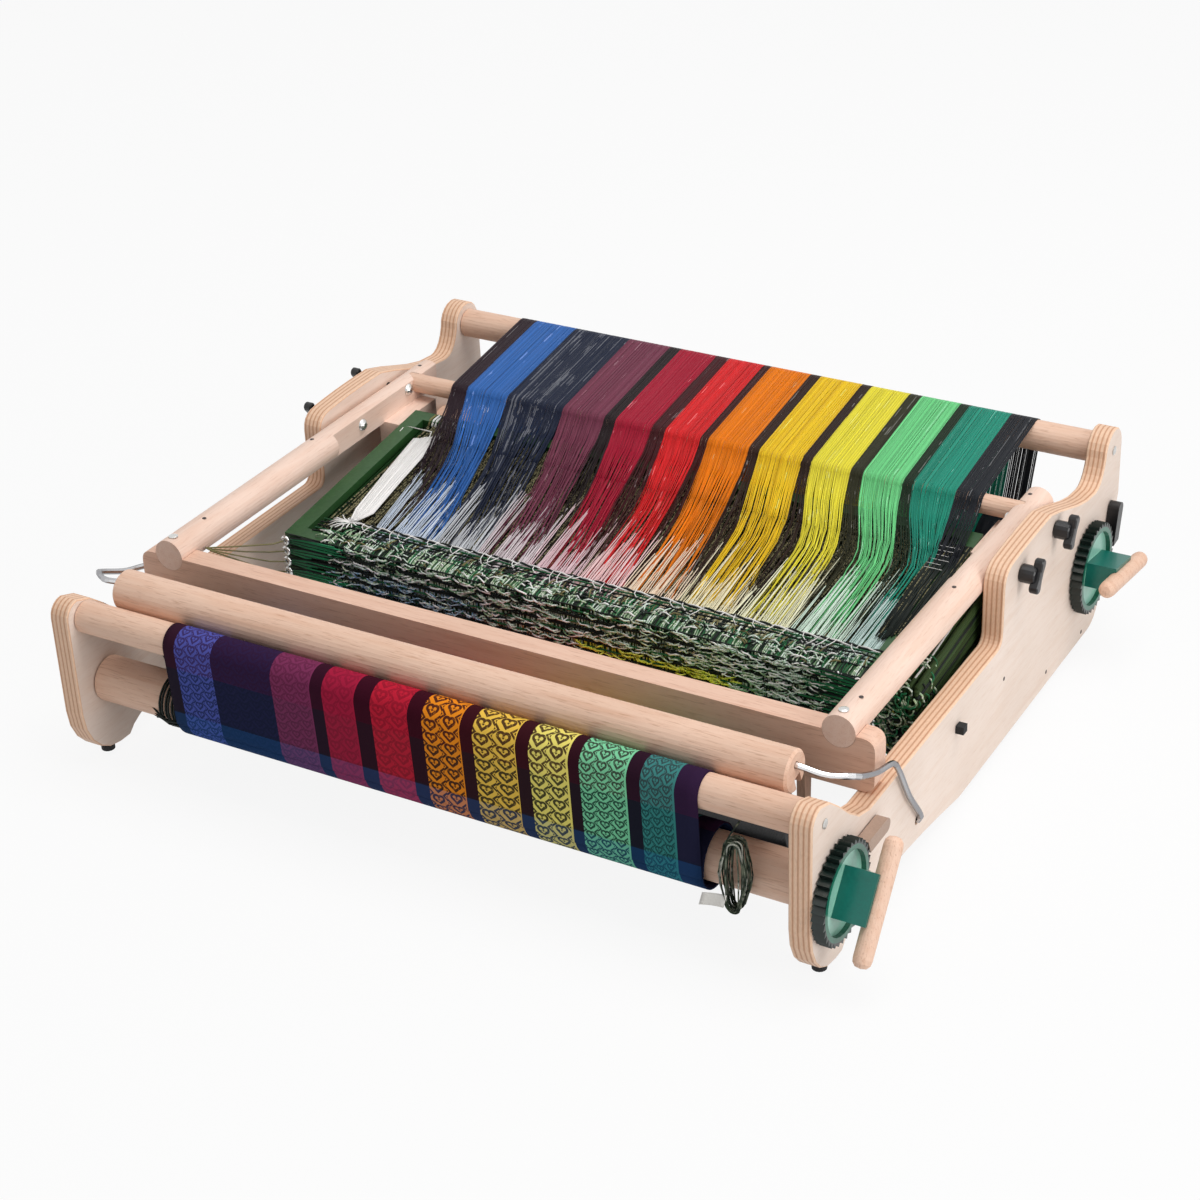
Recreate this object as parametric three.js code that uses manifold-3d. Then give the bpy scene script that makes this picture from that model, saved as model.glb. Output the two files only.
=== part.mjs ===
// A folding table loom with four shafts, folded flat with its warp and cloth on it.
// Sizes are millimetres. X runs along the beams, Y from front to back, Z up.
import * as THREE from 'three';
import { mergeVertices } from 'three/addons/utils/BufferGeometryUtils.js';
import Module from 'manifold-3d';

const wasm = await Module();
wasm.setup();

// Clearances
const gap = 0.3;
const runGap = 1.0;

// Side panels
const panelThick = 19;
const innerWidth = 660;
const innerX = innerWidth / 2;
const outerX = innerX + panelThick;
const panelBevel = 1.2;
const footHeight = 5;
const footRadius = 6;
const footInset = 9.5;
const footFrontY = 38;
const footBackY = 560;

// Fixed beams between the panels
const beamRadius = 14;
const beamChamfer = 1;
const frontBeamY = 24;
const frontBeamZ = 137;
const backBeamY = 629;
const backBeamZ = 164;
const beamScrewLength = 46;
const screwShank = 2.5;
const screwHeadRadius = 4.2;
const screwHeadHeight = 1;

// Front upright of the panel, and the low middle behind it
const panelFrontY = frontBeamY - 21;
const headTopY = frontBeamY - 6;
const headTopZ = frontBeamZ + beamRadius + 4;
const toeY = panelFrontY + 43;
const toeRise = 50;
const middleZ = 101;
const middleStartY = 104;
const archRise = 18;
const archStartY = 58;
const archPeakY = 118;
const archEndY = 285;

// Hump of the panel that carries the castle pivots
const humpY = 369;
const humpRound = 20;
const humpTopZ = 173;
const humpFlatEndY = 474;
const valleyY = backBeamY - 43;
const valleyZ = backBeamZ - 22;

// Rear head and heel of the panel
const backHeadRadius = beamRadius + 7;
const backEdgeY = backBeamY + backHeadRadius + 1;
const heelTopZ = 112;
const heelY = 604;
const heelRound = 16;

// Board across the bottom at the back
const baseBoardY = 480;
const baseBoardDepth = 96;
const baseBoardThick = 18;
const baseBoardLift = 2;

// Rollers
const rollerRadius = 20;
const clothRollerY = 41;
const clothRollerZ = 68;
const warpRollerY = 570;
const warpRollerZ = 76;
const axleRadius = 8;
const axleDepth = 12;
const clothRollRadius = 26.5;
const warpRollRadius = 33;

// Ratchet wheels with their hub blocks
const wheelRadius = 42;
const toothDepth = 4;
const toothCount = 36;
const wheelThick = 10;
const dishRadius = 34;
const dishDepth = 4;
const hubLength = 40;
const hubWidth = 22;
const hubReach = 21;
const hubSeat = 1;
const handleRadius = 7.5;
const handleLength = 100;
const clothHandleAngle = 53;
const warpHandleAngle = -8.6;

// Pawls
const pawlThick = 10;
const pawlHeight = 12;
const pawlLength = 40;
const pawlNoseCut = 4.5;
const pawlPinRadius = 3;
const clothPawlY = clothRollerY + wheelRadius + 29;
const clothPawlZ = clothRollerZ + 16;
const clothPawlAngle = 180;
const warpPawlY = warpRollerY + wheelRadius + 15;
const warpPawlZ = warpRollerZ + 33;
const warpPawlAngle = 256;

// Castle, which folds forward about its pivot bolts
const pivotY = humpY + 36;
const pivotZ = humpTopZ - 21;
const lockY = pivotY + 79;
const lockZ = pivotZ + 3;
const castleBoardY = middleStartY + 17;
const castleBoardThick = 20;
const castleBoardHeight = 47;
const castleBoardBottomZ = middleZ + runGap;
const castleBoardTopZ = castleBoardBottomZ + castleBoardHeight;
const castleBoardHalf = innerX + 15;
const castleBoardRound = 11;
const postRadius = 14;
const postSideRoom = 1;
const postX = innerX - postSideRoom - postRadius;
const postZ = castleBoardTopZ + 1;
const rearDowelY = 501;
const rearDowelZ = postZ + 5;
const rearDowelRadius = 9;
const postEndY = rearDowelY + 33;
const postFlatDepth = 6;
const postFlatStartY = pivotY - 47;
const guideBottomZ = postZ - 84;
const guideTopZ = postZ - 10;
const guideStartY = pivotY + 35;
const guideEndY = rearDowelY + 4;
const guideOuterX = postX - 3;
const postScrewY = castleBoardY + 9;
const postScrewDepth = 40;

// Bolts and wing knobs
const boltRadius = 3;
const domeRadius = 6;
const domeHeight = 4;
const knobBodyRadius = 8;
const knobReach = 18;
const wingLength = 30;
const wingWidth = 9;
const wingThick = 8;

// Shafts, stacked in the folded castle and leaning a little
const shaftCount = 4;
const shaftPitch = 10.5;
const shaftThick = 8;
const shaftLean = 7;
const shaftFrontY = 251;
const topShaftZ = postZ - 38;
const shaftLength = 221;
const shaftSideRoom = 40;
const shaftHalfWidth = innerX - shaftSideRoom;
const shaftSideWidth = 16;
const shaftBarWidth = 13;
const heddleSideGap = 2;
const heddleHalfWidth = shaftHalfWidth - shaftSideWidth - heddleSideGap;
const heddleThick = 3;
const heddleStripWidth = 14;
const eyeSlot = 9;
const eyePlace = 110;

// Lifting levers on the castle board
const leverAxleZ = castleBoardBottomZ + 10;
const leverAxleRadius = 2.5;
const leverThick = 7;
const leverWidth = 13;
const leverLength = 82;
const leverPitch = 19;
const leverInnerX = shaftHalfWidth - 8 - leverPitch;

// Beater
const railRadius = 17.5;
const railEndRoom = 19;
const railHalfLength = innerX - railEndRoom;
const railY = frontBeamY + 32;
const railZ = frontBeamZ + 14;
const railChamfer = 2;
const grooveWidth = 9;
const reedLean = 20;
const reedHalfWidth = railHalfLength - 11;
const reedThick = 8;
const reedTop = 5;
const reedBottom = 113;
const reedRim = 10;
const armRadius = 2.6;
const armStandOff = 4;
const armX = outerX + armStandOff;
const armPivotY = 197;
const armPivotZ = 33;
const armKneeY = 141;
const armKneeZ = 121;
const armPinDepth = 12;
const armSocketDepth = 30;
const armEntryRise = 6;
const stopY = 275;
const stopZ = 75;
const stopLength = 8;
const stopHeight = 7;
const stopReach = 7;

// Cloth and warp
const clothThick = 1;
const warpThick = 0.8;
const warpSideRoom = 58;
const warpHalfWidth = innerX - warpSideRoom;
const eyeHalfWidth = heddleHalfWidth - heddleStripWidth - 2;
const clothLeftX = 36 - warpHalfWidth;
const clothRightX = warpHalfWidth - 18;
const fellY = railY + 2;
const fellZ = railZ - 39;
const underShaftsY = shaftFrontY - 4;
const underShaftsZ = topShaftZ - 53;

// Hank of spare warp thread hanging beside the cloth
const hankLoops = 6;
const hankCord = 1.1;
const hankPitch = 2.7;
const hankHalfWidth = 10;
const hankHalfHeight = 27;
const hankX = innerX - 47;
const hankZ = clothRollerZ + 10;
const hankSteps = 14;

// Colours
const birch = { color: 0xe3c09d, roughness: 0.55, metalness: 0 };
const beech = { color: 0xe0b48f, roughness: 0.5, metalness: 0 };
const steel = { color: 0xb9bcc0, roughness: 0.3, metalness: 1 };
const black = { color: 0x17181a, roughness: 0.5, metalness: 0 };
const teal = { color: 0x0d7a68, roughness: 0.35, metalness: 0 };
const green = { color: 0x1f4a24, roughness: 0.5, metalness: 0 };
const white = { color: 0xe8e8e2, roughness: 0.9, metalness: 0 };
const reedGrey = { color: 0x2b2d38, roughness: 0.45, metalness: 0.6 };
const pawlGrey = { color: 0x7b6d66, roughness: 0.5, metalness: 0 };
const clothBlue = { color: 0x3a4f9c, roughness: 0.9, metalness: 0 };
const warpTeal = { color: 0x2c8a78, roughness: 0.9, metalness: 0 };
const threadGreen = { color: 0x39463a, roughness: 0.9, metalness: 0 };

// Turns of the axes
const rad = Math.PI / 180;
const outAxes = new THREE.Matrix4().makeBasis(
  new THREE.Vector3(0, 1, 0),
  new THREE.Vector3(0, 0, 1),
  new THREE.Vector3(1, 0, 0),
);
const turnAxes = new THREE.Matrix4().makeBasis(
  new THREE.Vector3(0, 1, 0),
  new THREE.Vector3(1, 0, 0),
  new THREE.Vector3(0, 0, -1),
);

const loom = new THREE.Group();

// Closed solids
function closed(geometry) {
  const bare = geometry.index ? geometry.toNonIndexed() : geometry.clone();
  for (const name of Object.keys(bare.attributes)) {
    if (name !== 'position') {
      bare.deleteAttribute(name);
    }
  }
  const merged = mergeVertices(bare, 1e-4);
  const index = Array.from(merged.index.array);
  const kept = [];
  for (let i = 0; i < index.length; i += 3) {
    const [a, b, c] = [index[i], index[i + 1], index[i + 2]];
    if (a !== b && b !== c && c !== a) {
      kept.push(a, b, c);
    }
  }
  const p = merged.attributes.position;
  const [u, v, w] = [new THREE.Vector3(), new THREE.Vector3(), new THREE.Vector3()];
  let volume = 0;
  for (let i = 0; i < kept.length; i += 3) {
    u.fromBufferAttribute(p, kept[i]);
    v.fromBufferAttribute(p, kept[i + 1]);
    w.fromBufferAttribute(p, kept[i + 2]);
    volume += u.dot(v.cross(w));
  }
  if (volume < 0) {
    for (let i = 0; i < kept.length; i += 3) {
      [kept[i], kept[i + 1]] = [kept[i + 1], kept[i]];
    }
  }
  merged.setIndex(kept);
  return merged;
}

function toSolid(geometry) {
  const g = closed(geometry);
  return new wasm.Manifold(new wasm.Mesh({
    numProp: 3,
    vertProperties: new Float32Array(g.attributes.position.array),
    triVerts: new Uint32Array(g.index.array),
  }));
}

function toGeometry(solid) {
  const mesh = solid.getMesh();
  const g = new THREE.BufferGeometry();
  g.setAttribute('position', new THREE.BufferAttribute(new Float32Array(mesh.vertProperties), 3));
  g.setIndex(Array.from(mesh.triVerts));
  return g;
}

function cut(body, tools) {
  let solid = toSolid(body);
  for (const tool of tools) {
    solid = solid.subtract(toSolid(tool));
  }
  return toGeometry(solid);
}

function join(bodies) {
  let solid = toSolid(bodies[0]);
  for (const body of bodies.slice(1)) {
    solid = solid.add(toSolid(body));
  }
  return toGeometry(solid);
}

function add(name, geometry, look, parent = loom) {
  const g = closed(geometry);
  g.computeVertexNormals();
  const mesh = new THREE.Mesh(g, new THREE.MeshStandardMaterial(look));
  mesh.name = name;
  parent.add(mesh);
  return mesh;
}

// Outline in the side view, pushed out along X
function slab(shape, x0, x1, bevel = 0, curveSegments = 6) {
  const g = new THREE.ExtrudeGeometry(shape, {
    depth: x1 - x0 - 2 * bevel,
    bevelEnabled: bevel > 0,
    bevelThickness: bevel,
    bevelSize: bevel,
    bevelOffset: -bevel,
    bevelSegments: 1,
    curveSegments,
  });
  g.translate(0, 0, x0 + bevel);
  g.applyMatrix4(outAxes);
  return g;
}

function box(x0, x1, y0, y1, z0, z1) {
  const g = new THREE.BoxGeometry(x1 - x0, y1 - y0, z1 - z0);
  g.translate((x0 + x1) / 2, (y0 + y1) / 2, (z0 + z1) / 2);
  return g;
}

// Turned body on an axis along X, from pairs of radius and place
function turned(pairs, y, z, sides) {
  const points = pairs.map(([r, x]) => new THREE.Vector2(r, x));
  const g = new THREE.LatheGeometry(points, sides);
  g.applyMatrix4(turnAxes);
  g.translate(0, y, z);
  return g;
}

function rod(radius, x0, x1, y, z, sides, chamfer = 0) {
  if (chamfer === 0) {
    return turned([[0, x0], [radius, x0], [radius, x1], [0, x1]], y, z, sides);
  }
  return turned([
    [0, x0],
    [radius - chamfer, x0],
    [radius, x0 + chamfer],
    [radius, x1 - chamfer],
    [radius - chamfer, x1],
    [0, x1],
  ], y, z, sides);
}

function post(radius, x, y, z0, z1, sides) {
  const g = new THREE.CylinderGeometry(radius, radius, z1 - z0, sides);
  g.rotateX(Math.PI / 2);
  g.translate(x, y, (z0 + z1) / 2);
  return g;
}

function mirrored(geometry) {
  const g = geometry.clone();
  g.scale(-1, 1, 1);
  return g;
}

// Tube along points, with an even number of steps
function tube(points, radius, sides, steps, tension = 0.5) {
  const path = new THREE.CatmullRomCurve3(points, false, 'catmullrom', tension);
  const section = new THREE.Shape();
  for (let i = 0; i < sides; i += 1) {
    const a = (2 * Math.PI * i) / sides;
    const [x, y] = [radius * Math.cos(a), radius * Math.sin(a)];
    if (i === 0) {
      section.moveTo(x, y);
    } else {
      section.lineTo(x, y);
    }
  }
  section.closePath();
  return new THREE.ExtrudeGeometry(section, { steps, extrudePath: path, bevelEnabled: false });
}

// Thin sheet through stations of y, z, left x and right x
function sheet(stations, thick) {
  const n = stations.length;
  const vertices = [];
  for (let i = 0; i < n; i += 1) {
    const before = stations[Math.max(i - 1, 0)];
    const after = stations[Math.min(i + 1, n - 1)];
    const d = new THREE.Vector2(after[0] - before[0], after[1] - before[1]).normalize();
    const [oy, oz] = [(-d.y * thick) / 2, (d.x * thick) / 2];
    const [y, z, x0, x1] = stations[i];
    vertices.push(x0, y + oy, z + oz, x1, y + oy, z + oz);
    vertices.push(x1, y - oy, z - oz, x0, y - oy, z - oz);
  }
  const index = [];
  for (let i = 0; i < n - 1; i += 1) {
    for (let k = 0; k < 4; k += 1) {
      const a = 4 * i + k;
      const b = 4 * i + ((k + 1) % 4);
      index.push(a, b, b + 4, a, b + 4, a + 4);
    }
  }
  const e = 4 * (n - 1);
  index.push(0, 2, 1, 0, 3, 2, e, e + 1, e + 2, e, e + 2, e + 3);
  const g = new THREE.BufferGeometry();
  g.setAttribute('position', new THREE.Float32BufferAttribute(vertices, 3));
  g.setIndex(index);
  return g;
}

// Points of an arc in the side view, angles in degrees
function arc(y, z, radius, from, to, steps) {
  const out = [];
  for (let i = 0; i <= steps; i += 1) {
    const a = (from + ((to - from) * i) / steps) * rad;
    out.push([y + radius * Math.cos(a), z + radius * Math.sin(a)]);
  }
  return out;
}

// Angle at which a straight run touches both circles on the side of the given sign
function tangentAngle(c1, r1, c2, r2, side) {
  const [dy, dz] = [c2[0] - c1[0], c2[1] - c1[1]];
  const reach = Math.hypot(dy, dz);
  const heading = Math.atan2(dz, dy);
  return (heading + side * Math.acos((r1 - r2) / reach)) / rad;
}

// Angle at which a straight run from a circle reaches a point
function pointAngle(c, r, point, side) {
  const [dy, dz] = [point[0] - c[0], point[1] - c[1]];
  return (Math.atan2(dz, dy) + side * Math.acos(r / Math.hypot(dy, dz))) / rad;
}

// Side panels
function panelShape() {
  const backZ = backBeamZ;
  const s = new THREE.Shape();
  s.moveTo(toeY, 0);
  s.bezierCurveTo(toeY - 24, 0, panelFrontY, toeRise - 28, panelFrontY, toeRise);
  s.lineTo(panelFrontY, headTopZ - 15);
  s.bezierCurveTo(panelFrontY, headTopZ - 6, headTopY - 8, headTopZ, headTopY, headTopZ);
  s.bezierCurveTo(headTopY + 26, headTopZ, middleStartY - 32, middleZ, middleStartY, middleZ);
  s.lineTo(humpY - 10, middleZ);
  s.quadraticCurveTo(humpY, middleZ, humpY, middleZ + 11);
  s.lineTo(humpY, humpTopZ - humpRound);
  s.quadraticCurveTo(humpY, humpTopZ - 3, humpY + humpRound, humpTopZ - 2);
  s.quadraticCurveTo(humpY + 60, humpTopZ + 1, humpFlatEndY, humpTopZ);
  s.bezierCurveTo(humpFlatEndY + 40, humpTopZ - 10, valleyY - 35, valleyZ, valleyY, valleyZ);
  s.quadraticCurveTo(valleyY + 16, valleyZ, backBeamY - backHeadRadius, backZ);
  s.absarc(backBeamY, backZ, backHeadRadius, Math.PI, 0, true);
  s.lineTo(backEdgeY, heelTopZ);
  s.lineTo(heelY + heelRound * 0.6, heelRound);
  s.quadraticCurveTo(heelY, 0, heelY - heelRound, 0);
  s.lineTo(archEndY, 0);
  s.quadraticCurveTo(archPeakY + 70, archRise, archPeakY, archRise);
  s.quadraticCurveTo(archStartY + 14, archRise, archStartY, 0);
  s.closePath();
  return s;
}

function rightPanel() {
  const body = slab(panelShape(), innerX, outerX, panelBevel, 5);
  const through = (r, y, z) => rod(r, innerX - 1, outerX + 1, y, z, 12);
  return cut(body, [
    through(screwShank + gap, frontBeamY, frontBeamZ),
    through(screwShank + gap, backBeamY, backBeamZ),
    through(boltRadius + gap, pivotY, pivotZ),
    through(boltRadius + gap, lockY, lockZ),
    rod(armRadius + 4 * gap, outerX - armPinDepth, outerX + 1, armPivotY, armPivotZ, 16),
    rod(pawlPinRadius + gap, outerX - armPinDepth, outerX + 1, clothPawlY, clothPawlZ, 12),
    rod(pawlPinRadius + gap, outerX - armPinDepth, outerX + 1, warpPawlY, warpPawlZ, 12),
    rod(axleRadius + gap, innerX - 1, outerX + 1, clothRollerY, clothRollerZ, 20),
    rod(axleRadius + gap, innerX - 1, outerX + 1, warpRollerY, warpRollerZ, 20),
  ]);
}

function leftPanel() {
  const body = slab(panelShape(), innerX, outerX, panelBevel, 5);
  const through = (r, y, z) => rod(r, innerX - 1, outerX + 1, y, z, 12);
  return mirrored(cut(body, [
    through(screwShank + gap, frontBeamY, frontBeamZ),
    through(screwShank + gap, backBeamY, backBeamZ),
    through(boltRadius + gap, pivotY, pivotZ),
    through(boltRadius + gap, lockY, lockZ),
    rod(armRadius + 4 * gap, outerX - armPinDepth, outerX + 1, armPivotY, armPivotZ, 16),
    rod(axleRadius + gap, innerX - 1, innerX + axleDepth, clothRollerY, clothRollerZ, 20),
    rod(axleRadius + gap, innerX - 1, innerX + axleDepth, warpRollerY, warpRollerZ, 20),
  ]));
}

add('side_panel_right', rightPanel(), birch);
add('side_panel_left', leftPanel(), birch);

// Fixed beams, each held by a screw through each panel
function fixedBeam(y, z) {
  const half = innerX - gap;
  const body = rod(beamRadius, -half, half, y, z, 28, beamChamfer);
  const depth = beamScrewLength - panelThick + 1;
  return cut(body, [
    rod(screwShank + gap, half - depth, half + 1, y, z, 12),
    rod(screwShank + gap, -half - 1, -half + depth, y, z, 12),
  ]);
}

function beamScrew(y, z) {
  const face = outerX + gap;
  return turned([
    [0, face - beamScrewLength],
    [screwShank, face - beamScrewLength],
    [screwShank, face],
    [screwHeadRadius, face],
    [screwHeadRadius, face + screwHeadHeight * 0.4],
    [screwHeadRadius * 0.6, face + screwHeadHeight],
    [0, face + screwHeadHeight],
  ], y, z, 14);
}

add('front_beam', fixedBeam(frontBeamY, frontBeamZ), beech);
add('back_beam', fixedBeam(backBeamY, backBeamZ), beech);
add('beam_screw_front_right', beamScrew(frontBeamY, frontBeamZ), steel);
add('beam_screw_front_left', mirrored(beamScrew(frontBeamY, frontBeamZ)), steel);
add('beam_screw_back_right', beamScrew(backBeamY, backBeamZ), steel);
add('beam_screw_back_left', mirrored(beamScrew(backBeamY, backBeamZ)), steel);

// Board across the bottom
add('base_board', box(
  -innerX + gap,
  innerX - gap,
  baseBoardY,
  baseBoardY + baseBoardDepth,
  baseBoardLift,
  baseBoardLift + baseBoardThick,
), birch);

// Rubber feet
for (const [end, y] of [['front', footFrontY], ['back', footBackY]]) {
  for (const [side, sign] of [['left', -1], ['right', 1]]) {
    const x = sign * (innerX + footInset);
    add(`foot_${end}_${side}`, post(footRadius, x, y, -footHeight, -gap, 16), black);
  }
}

// Rubber blocks that stop the beater arms
for (const [side, sign] of [['left', -1], ['right', 1]]) {
  const block = box(
    outerX + gap,
    outerX + gap + stopReach,
    stopY - stopLength / 2,
    stopY + stopLength / 2,
    stopZ - stopHeight / 2,
    stopZ + stopHeight / 2,
  );
  add(`arm_stop_${side}`, sign > 0 ? block : mirrored(block), black);
}

// Rollers with an axle stub at each end
function roller(y, z) {
  const face = innerX - runGap;
  const wheelFace = outerX + runGap + wheelThick - dishDepth - gap;
  return turned([
    [0, -innerX - axleDepth + runGap],
    [axleRadius, -innerX - axleDepth + runGap],
    [axleRadius, -face],
    [rollerRadius - beamChamfer, -face],
    [rollerRadius, -face + beamChamfer],
    [rollerRadius, face - beamChamfer],
    [rollerRadius - beamChamfer, face],
    [axleRadius, face],
    [axleRadius, wheelFace],
    [0, wheelFace],
  ], y, z, 28);
}

function woundOn(radius, x0, x1, y, z) {
  return turned([
    [rollerRadius + gap, x0],
    [radius, x0],
    [radius, x1],
    [rollerRadius + gap, x1],
    [rollerRadius + gap, x0],
  ], y, z, 32);
}

add('cloth_roller', roller(clothRollerY, clothRollerZ), beech);
add('warp_roller', roller(warpRollerY, warpRollerZ), beech);
add('cloth_on_roller', woundOn(
  clothRollRadius,
  clothLeftX,
  clothRightX,
  clothRollerY,
  clothRollerZ,
), clothBlue);
add('warp_on_roller', woundOn(
  warpRollRadius,
  -warpHalfWidth,
  warpHalfWidth,
  warpRollerY,
  warpRollerZ,
), warpTeal);

// Ratchet wheels: toothed rim, dished face, and a hub block that holds the handle
const wheelBackX = outerX + runGap;
const wheelFrontX = wheelBackX + wheelThick;
const dishX = wheelFrontX - dishDepth;
const handleX = dishX + hubReach + handleRadius;

function ratchetWheel(y, z, handleAngle) {
  const rim = new THREE.Shape();
  for (let i = 0; i < toothCount; i += 1) {
    const a = (2 * Math.PI * i) / toothCount;
    const b = (2 * Math.PI * (i + 0.82)) / toothCount;
    const root = wheelRadius - toothDepth;
    if (i === 0) {
      rim.moveTo(root * Math.cos(a), root * Math.sin(a));
    } else {
      rim.lineTo(root * Math.cos(a), root * Math.sin(a));
    }
    rim.lineTo(wheelRadius * Math.cos(b), wheelRadius * Math.sin(b));
  }
  rim.closePath();
  const disc = slab(rim, wheelBackX, wheelFrontX);
  const dish = rod(dishRadius, dishX, wheelFrontX + 1, 0, 0, 30);
  const bore = rod(axleRadius + gap, wheelBackX - 1, dishX - gap, 0, 0, 20);
  const block = box(
    dishX - 1,
    handleX - hubSeat,
    -hubLength / 2,
    hubLength / 2,
    -hubWidth / 2,
    hubWidth / 2,
  );
  const socket = new THREE.CylinderGeometry(
    handleRadius + gap,
    handleRadius + gap,
    handleLength * 2,
    20,
  );
  socket.translate(handleX, 0, 0);
  let solid = toSolid(disc).subtract(toSolid(dish));
  solid = solid.add(toSolid(block));
  solid = solid.subtract(toSolid(bore));
  solid = solid.subtract(toSolid(socket));
  const g = toGeometry(solid);
  g.rotateX(handleAngle * rad);
  g.translate(0, y, z);
  return g;
}

function handle(y, z, angle) {
  const r = handleRadius;
  const half = handleLength / 2;
  const profile = [
    [0, -half],
    [r * 0.6, -half + r * 0.12],
    [r * 0.92, -half + r * 0.5],
    [r, -half + r],
    [r, half - r],
    [r * 0.92, half - r * 0.5],
    [r * 0.6, half - r * 0.12],
    [0, half],
  ];
  const g = new THREE.LatheGeometry(profile.map(([a, b]) => new THREE.Vector2(a, b)), 20);
  g.rotateX(angle * rad);
  g.translate(handleX, y, z);
  return g;
}

add('cloth_ratchet_wheel', ratchetWheel(clothRollerY, clothRollerZ, clothHandleAngle), teal);
add('warp_ratchet_wheel', ratchetWheel(warpRollerY, warpRollerZ, warpHandleAngle), teal);
add('cloth_roller_handle', handle(clothRollerY, clothRollerZ, clothHandleAngle), beech);
add('warp_roller_handle', handle(warpRollerY, warpRollerZ, warpHandleAngle), beech);

// Pawls: an arm with a nose at one end and its pivot pin at the other
function pawl(y, z, angle) {
  const h = pawlHeight / 2;
  const reach = pawlLength - h;
  const s = new THREE.Shape();
  s.moveTo(0, -h);
  s.lineTo(reach, -h);
  s.lineTo(reach - pawlNoseCut, h);
  s.lineTo(0, h);
  s.absarc(0, 0, h, Math.PI / 2, (3 * Math.PI) / 2, false);
  s.closePath();
  const arm = slab(s, outerX + runGap, outerX + runGap + pawlThick);
  const pin = rod(
    pawlPinRadius,
    outerX - armPinDepth + gap,
    outerX + runGap + 1,
    0,
    0,
    12,
  );
  const g = join([arm, pin]);
  g.rotateX(angle * rad);
  g.translate(0, y, z);
  return g;
}

add('cloth_pawl', pawl(clothPawlY, clothPawlZ, clothPawlAngle), pawlGrey);
add('warp_pawl', pawl(warpPawlY, warpPawlZ, warpPawlAngle), black);

// Castle posts, milled flat on the inside, with the boards that guide the shafts below
function rightPost() {
  const length = postEndY - castleBoardY;
  const body = new THREE.CylinderGeometry(postRadius, postRadius, length, 28);
  body.translate(postX, castleBoardY + length / 2, postZ);
  const flatX = postX - postRadius + postFlatDepth;
  const milled = cut(body, [
    box(
      postX - postRadius - 1,
      flatX,
      postFlatStartY,
      postEndY + 1,
      postZ - postRadius - 1,
      postZ + postRadius + 1,
    ),
  ]);
  const guide = box(
    shaftHalfWidth + gap,
    guideOuterX,
    guideStartY,
    guideEndY,
    guideBottomZ,
    guideTopZ,
  );
  return cut(join([milled, guide]), [
    rod(boltRadius + gap, flatX - 1, innerX, pivotY, pivotZ, 12),
    rod(screwShank + gap, flatX - 1, innerX - 6, lockY, lockZ, 12),
    rod(rearDowelRadius + gap, flatX - 1, flatX + 8, rearDowelY, rearDowelZ, 20),
    post(screwShank + gap, postX, postScrewY, postZ - postRadius - 1, postZ + postRadius + 1, 12),
  ]);
}

// Cross board of the castle, with round seats for the posts and slots for the levers
function leverPlaces() {
  const places = [];
  for (let i = 0; i < shaftCount; i += 1) {
    const side = i % 2 === 0 ? -1 : 1;
    places.push(side * (leverInnerX + leverPitch * Math.floor(i / 2)));
  }
  return places;
}

function castleBoard() {
  const z0 = castleBoardBottomZ;
  const z1 = castleBoardTopZ;
  const h = castleBoardHalf;
  const r = castleBoardRound;
  const s = new THREE.Shape();
  s.moveTo(-h + r, z0);
  s.lineTo(h - r, z0);
  s.quadraticCurveTo(h, z0, h, z0 + r);
  s.lineTo(h, z1 - r);
  s.quadraticCurveTo(h, z1, h - r, z1);
  s.lineTo(-h + r, z1);
  s.quadraticCurveTo(-h, z1, -h, z1 - r);
  s.lineTo(-h, z0 + r);
  s.quadraticCurveTo(-h, z0, -h + r, z0);
  s.closePath();
  const body = new THREE.ExtrudeGeometry(s, {
    depth: castleBoardThick,
    bevelEnabled: false,
    curveSegments: 5,
  });
  body.rotateX(Math.PI / 2);
  body.translate(0, castleBoardY + castleBoardThick, 0);
  const tools = [];
  for (const sign of [-1, 1]) {
    const seat = new THREE.CylinderGeometry(
      postRadius + gap,
      postRadius + gap,
      castleBoardThick + 2,
      28,
    );
    seat.translate(sign * postX, castleBoardY + castleBoardThick / 2, postZ);
    tools.push(seat);
    tools.push(post(
      screwShank + gap,
      sign * postX,
      postScrewY,
      postZ + postRadius - postScrewDepth - 1,
      postZ,
      12,
    ));
  }
  for (const x of leverPlaces()) {
    tools.push(box(
      x - leverThick / 2 - gap,
      x + leverThick / 2 + gap,
      castleBoardY - 1,
      castleBoardY + castleBoardThick + 1,
      z0 - 1,
      leverAxleZ + leverWidth / 2 + runGap,
    ));
  }
  const axleHalf = leverInnerX + leverPitch + 12;
  tools.push(rod(
    leverAxleRadius + gap,
    -axleHalf - 1,
    axleHalf + 1,
    castleBoardY + castleBoardThick / 2,
    leverAxleZ,
    12,
  ));
  return cut(body, tools);
}

add('castle_post_right', rightPost(), beech);
add('castle_post_left', mirrored(rightPost()), beech);
add('castle_board', castleBoard(), beech);
const flatX = postX - postRadius + postFlatDepth;
add('castle_rear_dowel', rod(
  rearDowelRadius,
  -flatX - 8 + gap,
  flatX + 8 - gap,
  rearDowelY,
  rearDowelZ,
  20,
), beech);

// Screws from the top of each post into the board
function postScrew() {
  const top = postZ + postRadius + gap;
  const points = [
    [0, top - postScrewDepth],
    [screwShank, top - postScrewDepth],
    [screwShank, top],
    [screwHeadRadius, top],
    [screwHeadRadius, top + screwHeadHeight * 0.4],
    [screwHeadRadius * 0.6, top + screwHeadHeight],
    [0, top + screwHeadHeight],
  ];
  const g = new THREE.LatheGeometry(points.map(([a, b]) => new THREE.Vector2(a, b)), 14);
  g.rotateX(Math.PI / 2);
  g.translate(postX, postScrewY, 0);
  return g;
}

add('post_screw_right', postScrew(), steel);
add('post_screw_left', mirrored(postScrew()), steel);

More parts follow.
